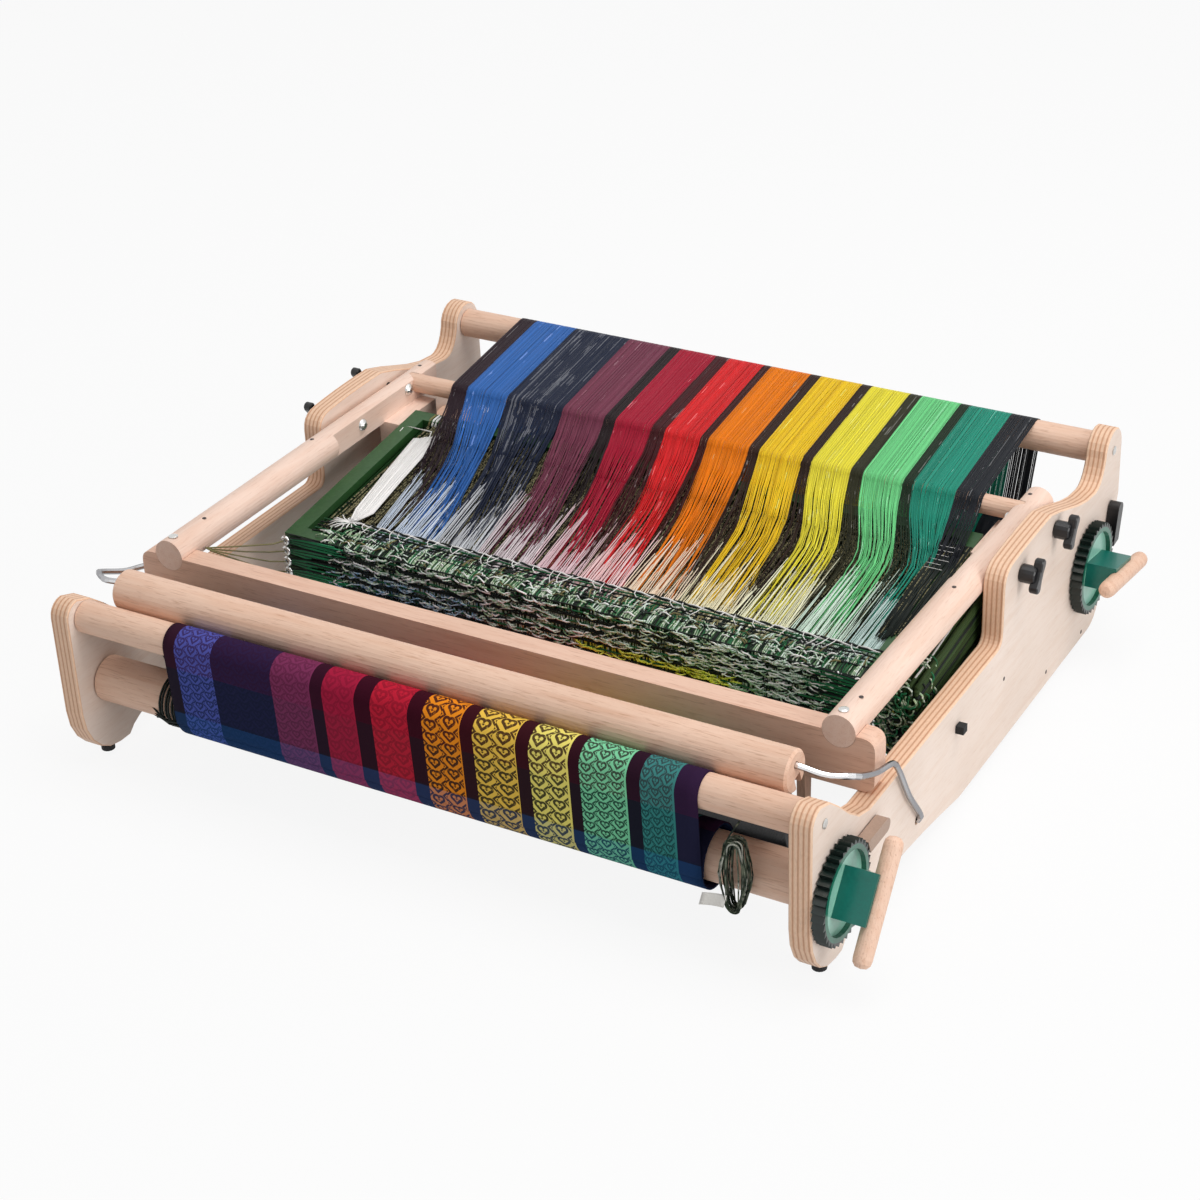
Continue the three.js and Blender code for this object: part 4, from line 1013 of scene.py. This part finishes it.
def warp_roll():
    """Warp wound on the back roller: a turn of every thread, a little uneven, with flat ends."""
    turns = []
    for k, (a, b, c) in enumerate(WARP):
        n = max(2, int((b - a) / 1.25))
        turns += [(a + (b - a) * q / n, k) for q in range(n)]
    turns.append((WARP_ENDS[1], len(WARP) - 1))
    around, core = 40, 20.3
    verts, uvs = [], []
    for q, (x, k) in enumerate(turns):
        r = 32.9 - (0.7 if q % 2 else 0.0) - 0.5 * rng.random()
        for w in circle(around):
            verts.append(at(x, *beside(WARP_ROLL, r, w)))
            uvs.append((q * 0.37 % 1, w * r / 1000))
    faces = tube_faces(0, len(turns) - 1, around)
    which = [k for x, k in turns[:-1] for _ in range(around)]
    for q in (0, len(turns) - 1):
        inner = len(verts)
        for w in circle(around):
            verts.append(at(turns[q][0], *beside(WARP_ROLL, core, w)))
            uvs.append((0.5, w))
        for s in range(around):
            after = (s + 1) % around
            a, b, c, d = q * around + s, q * around + after, inner + after, inner + s
            faces.append((a, b, c, d) if q else (a, d, c, b))
            which.append(turns[q][1])
    roll = build("warp_roll", verts, faces, warp_mats, "warp_beam", uvs, which)
    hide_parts("warp_on_roller")


spare_heddles()
for k in SHAFTS:
    rear_loops(k)
warp_roll()

# Cloth, with lengths along it in millimetres
CLOTH_LEFT, CLOTH_WIDTH = -236, 490
# Stripes: left edge, right edge, colour, hearts across and how clearly they show
CLOTH = [
    (-236, -225, (40, 26, 40), 0, 0), (-225, -190, (84, 96, 184), 3, 0.75),
    (-190, -129, (36, 34, 70), 5, 0.35), (-129, -92, (132, 56, 96), 3, 0.4),
    (-92, -80, (44, 18, 34), 0, 0), (-80, -50, (178, 34, 66), 2, 0.3),
    (-50, -34, (50, 12, 26), 0, 0), (-34, 1, (204, 36, 58), 2, 0.4), (1, 14, (50, 12, 22), 0, 0),
    (14, 48, (255, 152, 30), 2, 1), (48, 59, (52, 18, 20), 0, 0), (59, 98, (255, 210, 84), 2, 1),
    (98, 109, (48, 20, 22), 0, 0), (109, 143, (255, 240, 122), 2, 1), (143, 154, (40, 20, 26), 0, 0),
    (154, 193, (134, 226, 174), 3, 0.95), (193, 205, (28, 22, 34), 0, 0), (205, 233, (60, 142, 138), 3, 0.75),
    (233, 254, (36, 30, 58), 0, 0),
]
# The weft changes colour along the cloth, three colours in turn
WEFTS = (rgb(86, 20, 48), rgb(16, 40, 52), rgb(24, 88, 142))
WEFT_STARTS = (0, 93, 137, 210, 275, 350)
WEFT_SPAN = 500
THREAD_STEP = 0.9
NO_HEARTS = -5.0
# The cell that holds one heart, in the pattern's own steps
CELL_WIDE, CELL_TALL = 17.0, 12.0


def cloth_u(x):
    return (x - CLOTH_LEFT) / CLOTH_WIDTH


def hearts(s, across, along):
    """Rows of plain hearts with small knots between, every second column half a row on: 1 on their lines."""
    odd = s.math("MODULO", s.math("FLOOR", across), 2.0)
    along = s.add(along, s.mul(odd, 0.5))
    cx = s.mul(s.sub(s.part(across), 0.5), CELL_WIDE)
    cy = s.mul(s.sub(s.part(along), 0.5), CELL_TALL)
    ax, ay = s.size(cx), s.size(cy)
    lobe = s.sub(s.length(s.sub(ax, 2.15), s.add(cy, 2.0)), 3.05)
    square = s.mul(s.sub(s.add(ax, ay), 4.3), 0.707)
    heart = s.least(lobe, square)
    outline = s.less(s.size(s.add(heart, 0.5)), 1.12)
    middle = s.less(s.add(ax, s.size(s.add(cy, 0.6))), 1.0)
    corner = s.add(s.sub(CELL_WIDE / 2, ax), s.sub(CELL_TALL / 2, ay))
    knot = s.most(s.less(corner, 1.4), s.less(s.size(s.sub(corner, 3.6)), 1.2))
    return s.mul(s.most(s.most(outline, middle), knot), s.more(across, -0.5))


def cloth_material():
    s = Shade("woven_cloth", rough=0.85, spec=0.04)
    u, v = s.uv()
    warp = s.ramp(u, [(cloth_u(a), rgb(*c)) for a, b, c, n, show in CLOTH], hard=True)
    clear = s.ramp(u, [(cloth_u(a), (show, show, show, 1)) for a, b, c, n, show in CLOTH], hard=True)
    second = s.nodes.new("ShaderNodeUVMap")
    second.uv_map = "Motif"
    lines = hearts(s, *s.split(second.outputs[0])[:2])
    worn = s.math("MULTIPLY", s.noise(420), 2.3, True)
    lines = s.mul(lines, s.mul(clear, worn))
    mm = s.mul(v, 1000.0)
    place = s.math("DIVIDE", mm, WEFT_SPAN)
    starts = [start / WEFT_SPAN for start in WEFT_STARTS]
    weft = s.ramp(place, [(start, WEFTS[k % 3]) for k, start in enumerate(starts)], hard=True)
    # Threads over and under, and the share of the weft's colour: a little less in the first band, so it is
    # paler, and more in the third band, as painted shade on the cloth's lower front
    across, along = s.zigzag(s.mul(u, CLOTH_WIDTH / THREAD_STEP)), s.zigzag(s.mul(mm, 1 / THREAD_STEP))
    over = s.mul(s.add(across, along), 0.5)
    first = s.less(place, starts[1])
    painted_shade_band = s.mul(s.more(place, starts[2]), s.less(place, starts[3]))
    ground = s.sub(s.add(0.10, s.mul(painted_shade_band, 0.14)), s.mul(first, 0.07))
    ground = s.add(ground, s.mul(s.add(over, s.noise(1500)), 0.17))
    col = s.mix(s.least(ground, 0.94), warp, weft)
    col = s.mix(s.mul(lines, 0.92), col, s.mix(0.7, weft, (0.004, 0.003, 0.006, 1)))
    # Painted shade: the third band is darkened a little more towards near black
    s.color(s.mix(s.mul(painted_shade_band, 0.06), col, (0.0, 0.01, 0.02, 1)))
    s.bump(s.add(over, s.mul(lines, 0.5)), 0.5, 0.0004)
    return s.mat


def cloth_columns():
    """Strips of cloth: their edges, the edges' places in the hearts' pattern, and its row height."""
    columns = []
    for a, b, c, hearts_across, show in CLOTH:
        n = 4 if hearts_across else 2
        edges = [a + (b - a) * q / n for q in range(n + 1)]
        places = [hearts_across * q / n if hearts_across else NO_HEARTS for q in range(n + 1)]
        row = 9.0 if hearts_across > 2 else 12.0
        columns += [(edges[q:q + 2], places[q:q + 2], row) for q in range(n)]
    return columns


def cloth_mesh(name, rings, body):
    """A strip of cloth along side-view points, each with its length along the cloth."""
    columns = cloth_columns()
    xs = [edges[0] for edges, places, row in columns] + [columns[-1][0][1]]
    verts = [at(x, y, z) for y, z, along in rings for x in xs]
    faces, plain, motif = [], [], []
    w = len(xs)
    for j in range(len(rings) - 1):
        for q, (edges, places, row) in enumerate(columns):
            a = j * w + q
            faces.append((a, a + 1, a + 1 + w, a + w))
            for ring, side in ((j, 0), (j, 1), (j + 1, 1), (j + 1, 0)):
                along = rings[ring][2]
                plain.append((cloth_u(edges[side]), along / 1000))
                motif.append((places[side], along / row))
    strip = build(name, verts, faces, [cloth_mat], None)
    for layer, uvs in (("UVMap", plain), ("Motif", motif)):
        data = strip.data.uv_layers.new(name=layer).data
        data.foreach_set("uv", np.asarray(uvs, np.float32).ravel())
    thick = strip.modifiers.new("thick", "SOLIDIFY")
    thick.thickness = 0.0009
    thick.offset = 0
    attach(strip, body)
    return strip


def cloth_path():
    """Side view of the cloth, from the last row woven over the front beam to the roller, in short steps."""
    start, on_beam, on_roll, longest = (58, 112), 14.8, 27.3, 6
    first = tangent_angle(FRONT_BEAM, on_beam, start, 0, 1)
    down = tangent_angle(FRONT_BEAM, on_beam, CLOTH_ROLL, on_roll, -1) + 360
    path = [start] + arc(FRONT_BEAM, on_beam, first, down, 20) + arc(CLOTH_ROLL, on_roll, down, down + 8, 1)
    fine, run = [start], [0.0]
    for a, b in zip(path, path[1:]):
        steps = max(1, int(dist(a, b) / longest))
        fine += [tuple(spread(p, r, q, steps + 1) for p, r in zip(a, b)) for q in range(1, steps + 1)]
    for a, b in zip(fine, fine[1:]):
        run.append(run[-1] + dist(a, b))
    return [(y, z, along) for (y, z), along in zip(fine, run)], down + 8


cloth_mat = cloth_material()
cloth_rings, meets_roller = cloth_path()
CLOTH_LENGTH = cloth_rings[-1][2]
cloth = cloth_mesh("cloth", cloth_rings, "frame")
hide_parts("woven_cloth")


def cloth_roll():
    """Two turns of cloth on the front roller, drawing in as they go."""
    turns, steps = 2.0, 96
    rings = []
    for q in range(steps + 1):
        a = radians(meets_roller + 360 * turns * q / steps)
        r = 26.4 - 1.1 * turns * q / steps
        rings.append((*beside(CLOTH_ROLL, r, a), CLOTH_LENGTH + q * 2 * pi * 26 * turns / steps))
    wound = cloth_mesh("cloth_roll", rings, "cloth_beam")
    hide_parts("cloth_on_roller")


cloth_roll()

# Hank of spare thread
hank_mat = mottled("hank_thread", [
    (20, 30, 24), (58, 72, 54), (26, 38, 34), (128, 136, 118), (40, 56, 44), (196, 198, 186), (30, 40, 32),
], 34.0)
HANK_X, HANK_Z, HALF_HEIGHT, FRONT_LOOP_Y, HANK_DEPTH = 283, 79, 31, 5.0, 13.2
# The tail leaves the beam's underside and swings forward in one easy bend into the first loop
TAIL = [np.array(p) for p in ((283, 24, 122.9), (282.8, 15, 118), (279.0, 5.3, 116.5), (278.4, 5.1, 105.4))]
TAIL_JOINS = 4
# For each loop: the radius of its ends, how far its sides bulge, and its place across
END_R = [4.8, 5.6, 4.9, 5.2, 6.0, 4.8, 5.3, 4.9, 5.8, 5.0, 5.4, 4.9, 5.1, 5.6, 4.8, 5.2]
BULGE = [8.0, 1.5, 6.0, 3.5, 9.5, 0.5, 5.0, 7.5, 2.5, 9.0, 1.0, 6.5, 4.0, 8.5, 3.0, 7.0]
SHIFT = [0, 2.6, -2.4, 1.0, 0.4, -3.0, 2.8, -1.2, 0.8, -2.2, 3.2, -0.6, 1.8, -1.8, 2.4, 0, 0]
LOOPS = len(END_R)


def tail_point(t):
    a, b, c, d = TAIL
    return tuple((1 - t) ** 3 * a + 3 * t * (1 - t) ** 2 * b + 3 * t * t * (1 - t) * c + t ** 3 * d)


def hank_loop(r, bulge):
    """Front view of one loop: round ends joined by sides that bulge, half of it a turned copy of the rest."""
    straight = HALF_HEIGHT - r
    half = [(r * cos(a), straight + r * sin(a)) for a in np.radians([90, 112, 135, 158, 180])]
    for share in (0.72, 0.42, 0.0, -0.42, -0.72):
        z = share * straight
        half.append((-r - 0.62 * bulge * cos(pi / 2 * z / straight) ** 1.3, z))
    half += [(r * cos(a), -straight + r * sin(a)) for a in np.radians([180, 202, 225, 248])]
    return half + [(-x, -z) for x, z in half]


def hank():
    line = [tail_point(t) for t in (0, 0.2, 0.4, 0.6, 0.8)]
    for i in range(LOOPS):
        loop = hank_loop(END_R[i], BULGE[i])
        for q, (x, z) in enumerate(loop):
            if i == 0 and q < TAIL_JOINS:
                continue
            shift = SHIFT[i] + (SHIFT[i + 1] - SHIFT[i]) * q / len(loop)
            y = FRONT_LOOP_Y + HANK_DEPTH * (i + q / len(loop)) / LOOPS
            line.append((HANK_X + shift + x, y, HANK_Z + z))
    cords = Cords()
    cords.lay(line, 0, 0.65)
    yarn = cords.make("hank", [hank_mat], "frame", 6, "spare_thread")
    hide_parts("yarn_hank")


def paper_tag():
    """Plain paper tag tucked in the hank."""
    s = Shade("paper_tag", rough=0.8, spec=0.2)
    fibre = s.noise(700, 3)
    s.color(s.mix(fibre, rgb(246, 244, 240), rgb(226, 222, 214)))
    s.bump(fibre, 0.15, 0.0002)
    verts, faces = [], []
    wide, tall = 6, 5
    w, top = wide + 1, (wide + 1) * (tall + 1)
    for layer in (0, 0.35):
        for i in range(tall + 1):
            for j in range(wide + 1):
                u, v = j / wide, i / tall
                x, z = 259.5 + 20 * u - 3 * v, 60.5 - 12 * v + 2.5 * u
                verts.append(at(x, 3.4 + layer + 1.8 * sin(2.4 * u), z))
    for i in range(tall):
        for j in range(wide):
            q = i * w + j
            faces.append((q, q + 1, q + 1 + w, q + w))
            faces.append((top + q, top + q + w, top + q + 1 + w, top + q + 1))
    rim = list(range(w)) + [i * w + wide for i in range(1, tall + 1)]
    rim += [tall * w + j for j in range(wide - 1, -1, -1)] + [i * w for i in range(tall - 1, 0, -1)]
    for p, q in zip(rim, rim[1:] + rim[:1]):
        faces.append((p, p + top, q + top, q))
    build("paper_tag", verts, faces, [s.mat], "frame", [(v[0] * 10, v[2] * 10) for v in verts])


def cloth_ends():
    """Dark thread ends wound at the cloth roller's left end."""
    cords = Cords()
    for j in range(7):
        r, n, x = 21.4 + 0.8 * (j % 2), 26, -238 - 3.2 * j
        cords.lay([(x - 1.6 * q / n, *beside(CLOTH_ROLL, r, 2 * pi * q / n)) for q in range(n + 1)], 0, 1.0)
    for j in range(6):
        y, z = beside(CLOTH_ROLL, 23, radians(200 + 14 * j))
        cords.lay([(-237, y, z), (-250, y - 2, z - 1 + j), (-262 - 2 * j, y + 1, z + 3),
                   (-268 - 2 * j, y + 3, z + 6 - 2 * j)], 0, 1.0)
    cords.make("cloth_ends", [cord_dark], "cloth_beam", 5, "warp")


def reed_wires():
    """The reed's wires, which lean with the beater. Each is given from its top down."""
    cords = Cords()
    wires, lean, y, z = 420, radians(20), 56, 151
    for i in range(wires):
        cords.lay([(spread(-294, 294, i, wires), y - down * sin(lean), z + down * cos(lean))
                   for down in (-28, -65, -102)], 0, 0.72)
    cords.make("reed_wires", [reed_metal], "beater", slot="reed_steel")


def nails(name, body, spots, mat):
    """Low round heads. Each spot is a centre in working millimetres and the way the head faces."""
    sides, radius, height = 14, 1.9, 0.35
    verts, faces, uvs = [], [], []
    for centre, axis in spots:
        n = Vector(axis).normalized()
        p = n.orthogonal().normalized()
        q = n.cross(p)
        base = len(verts)
        rings = ((1.0, -0.4), (1.0, 0.35), (0.8, 0.8), (0.35, 1.0))
        for r, h in rings:
            for i, a in enumerate(circle(sides)):
                v = Vector(centre) + (p * cos(a) + q * sin(a)) * r * radius + n * h * height
                verts.append(at(*v))
                uvs.append((i / sides, r))
        verts.append(at(*(Vector(centre) + n * height * 1.02)))
        uvs.append((0, 0))
        faces += tube_faces(base, len(rings) - 1, sides)
        last, tip = base + (len(rings) - 1) * sides, base + len(rings) * sides
        faces += [(last + i, last + (i + 1) % sides, tip) for i in range(sides)]
        faces.append(tuple(base + i for i in reversed(range(sides))))
    build(name, verts, faces, [mat], body, uvs)


hank()
paper_tag()
cloth_ends()
reed_wires()

# Nail heads in the panels' outer faces and on the posts
nail_mat = plastic("nail_head", rgb(70, 58, 54), rgb(40, 32, 30), 0.5, 2000, 0.2)
UP = (0, 0, 1)
PANEL_NAILS = ((377.5, 64.3), (482.2, 13.9), (570.9, 7.7))
nails("frame_nails", "frame", [
    ((side * 349.0, y, z), (side, 0, 0)) for side in (1, -1) for y, z in PANEL_NAILS
], nail_mat)
nails("post_nails", "castle", [
    ((316.8, 338.9, 163.9), UP), ((319.0, 152.7, 163.8), UP), ((312.7, 518.5, 163.9), UP),
    ((-316.8, 338.9, 163.9), UP), ((-316.0, 519.7, 163.9), UP), ((-312.0, 169.5, 163.8), UP),
], nail_mat)


# Floor and light
def seen_directly(tree):
    """1 for rays that show a surface, straight or in a mirror or glass, and 0 for rays that light it."""
    rays = tree.nodes.new("ShaderNodeLightPath")
    seen = rays.outputs["Is Camera Ray"]
    for kind in ("Is Glossy Ray", "Is Transmission Ray"):
        most = tree.nodes.new("ShaderNodeMath")
        most.operation = "MAXIMUM"
        tree.links.new(seen, most.inputs[0])
        tree.links.new(rays.outputs[kind], most.inputs[1])
        seen = most.outputs[0]
    return seen


def blended(tree, share, lit, shown):
    """A mix of two shaders: what lights the scene, and what is seen."""
    mix = tree.nodes.new("ShaderNodeMixShader")
    tree.links.new(share, mix.inputs[0])
    tree.links.new(lit, mix.inputs[1])
    tree.links.new(shown, mix.inputs[2])
    return mix.outputs[0]


def glow(tree, kind, colour, strength):
    node = tree.nodes.new(kind)
    node.inputs["Color"].default_value = colour
    node.inputs["Strength"].default_value = strength
    return node.outputs[0]


def make_floor():
    s = Shade("floor", rough=0.9, spec=0.1)
    tree = s.mat.node_tree
    s.color(s.mix(s.noise(3), (0.76, 0.76, 0.76, 1), (0.78, 0.78, 0.78, 1)))
    white = glow(tree, "ShaderNodeEmission", WHITE, 1.0)
    surface = blended(tree, s.mul(seen_directly(tree), 0.90), s.bsdf.outputs[0], white)
    s.links.new(surface, s.nodes["Material Output"].inputs["Surface"])
    mesh = bpy.data.meshes.new("floor")
    reach, z = 9.0, -0.0006
    corners = [(-reach, -reach, z), (reach, -reach, z), (reach, reach, z), (-reach, reach, z)]
    mesh.from_pydata(corners, [], [(0, 1, 2, 3)])
    mesh.materials.append(s.mat)
    floor = bpy.data.objects.new("floor", mesh)
    scene.collection.objects.link(floor)


def make_world():
    world = bpy.data.worlds.new("world")
    scene.world = world
    world.use_nodes = True
    tree = world.node_tree
    tree.nodes.clear()
    out = tree.nodes.new("ShaderNodeOutputWorld")
    sky = glow(tree, "ShaderNodeBackground", (0.96, 0.98, 1.0, 1), 0.36)
    backdrop = glow(tree, "ShaderNodeBackground", WHITE, 1.0)
    tree.links.new(blended(tree, seen_directly(tree), sky, backdrop), out.inputs[0])


def lamp(name, place, aim, size, power, colour):
    data = bpy.data.lights.new(name, "AREA")
    data.shape = "SQUARE"
    data.size = size
    data.energy = power
    data.color = colour
    obj = bpy.data.objects.new(name, data)
    obj.location = place
    obj.rotation_euler = (Vector(aim) - Vector(place)).to_track_quat("-Z", "Y").to_euler()
    scene.collection.objects.link(obj)


make_floor()
make_world()
lamp("key", (0.7, 0.2, 3.1), (0, 0, 0.1), 2.0, 61, (1.0, 0.985, 0.97))
lamp("side", (2.9, -0.6, 1.1), (0.2, 0, 0.1), 1.6, 33, (1.0, 0.99, 0.98))

scene.view_settings.view_transform = "Standard"
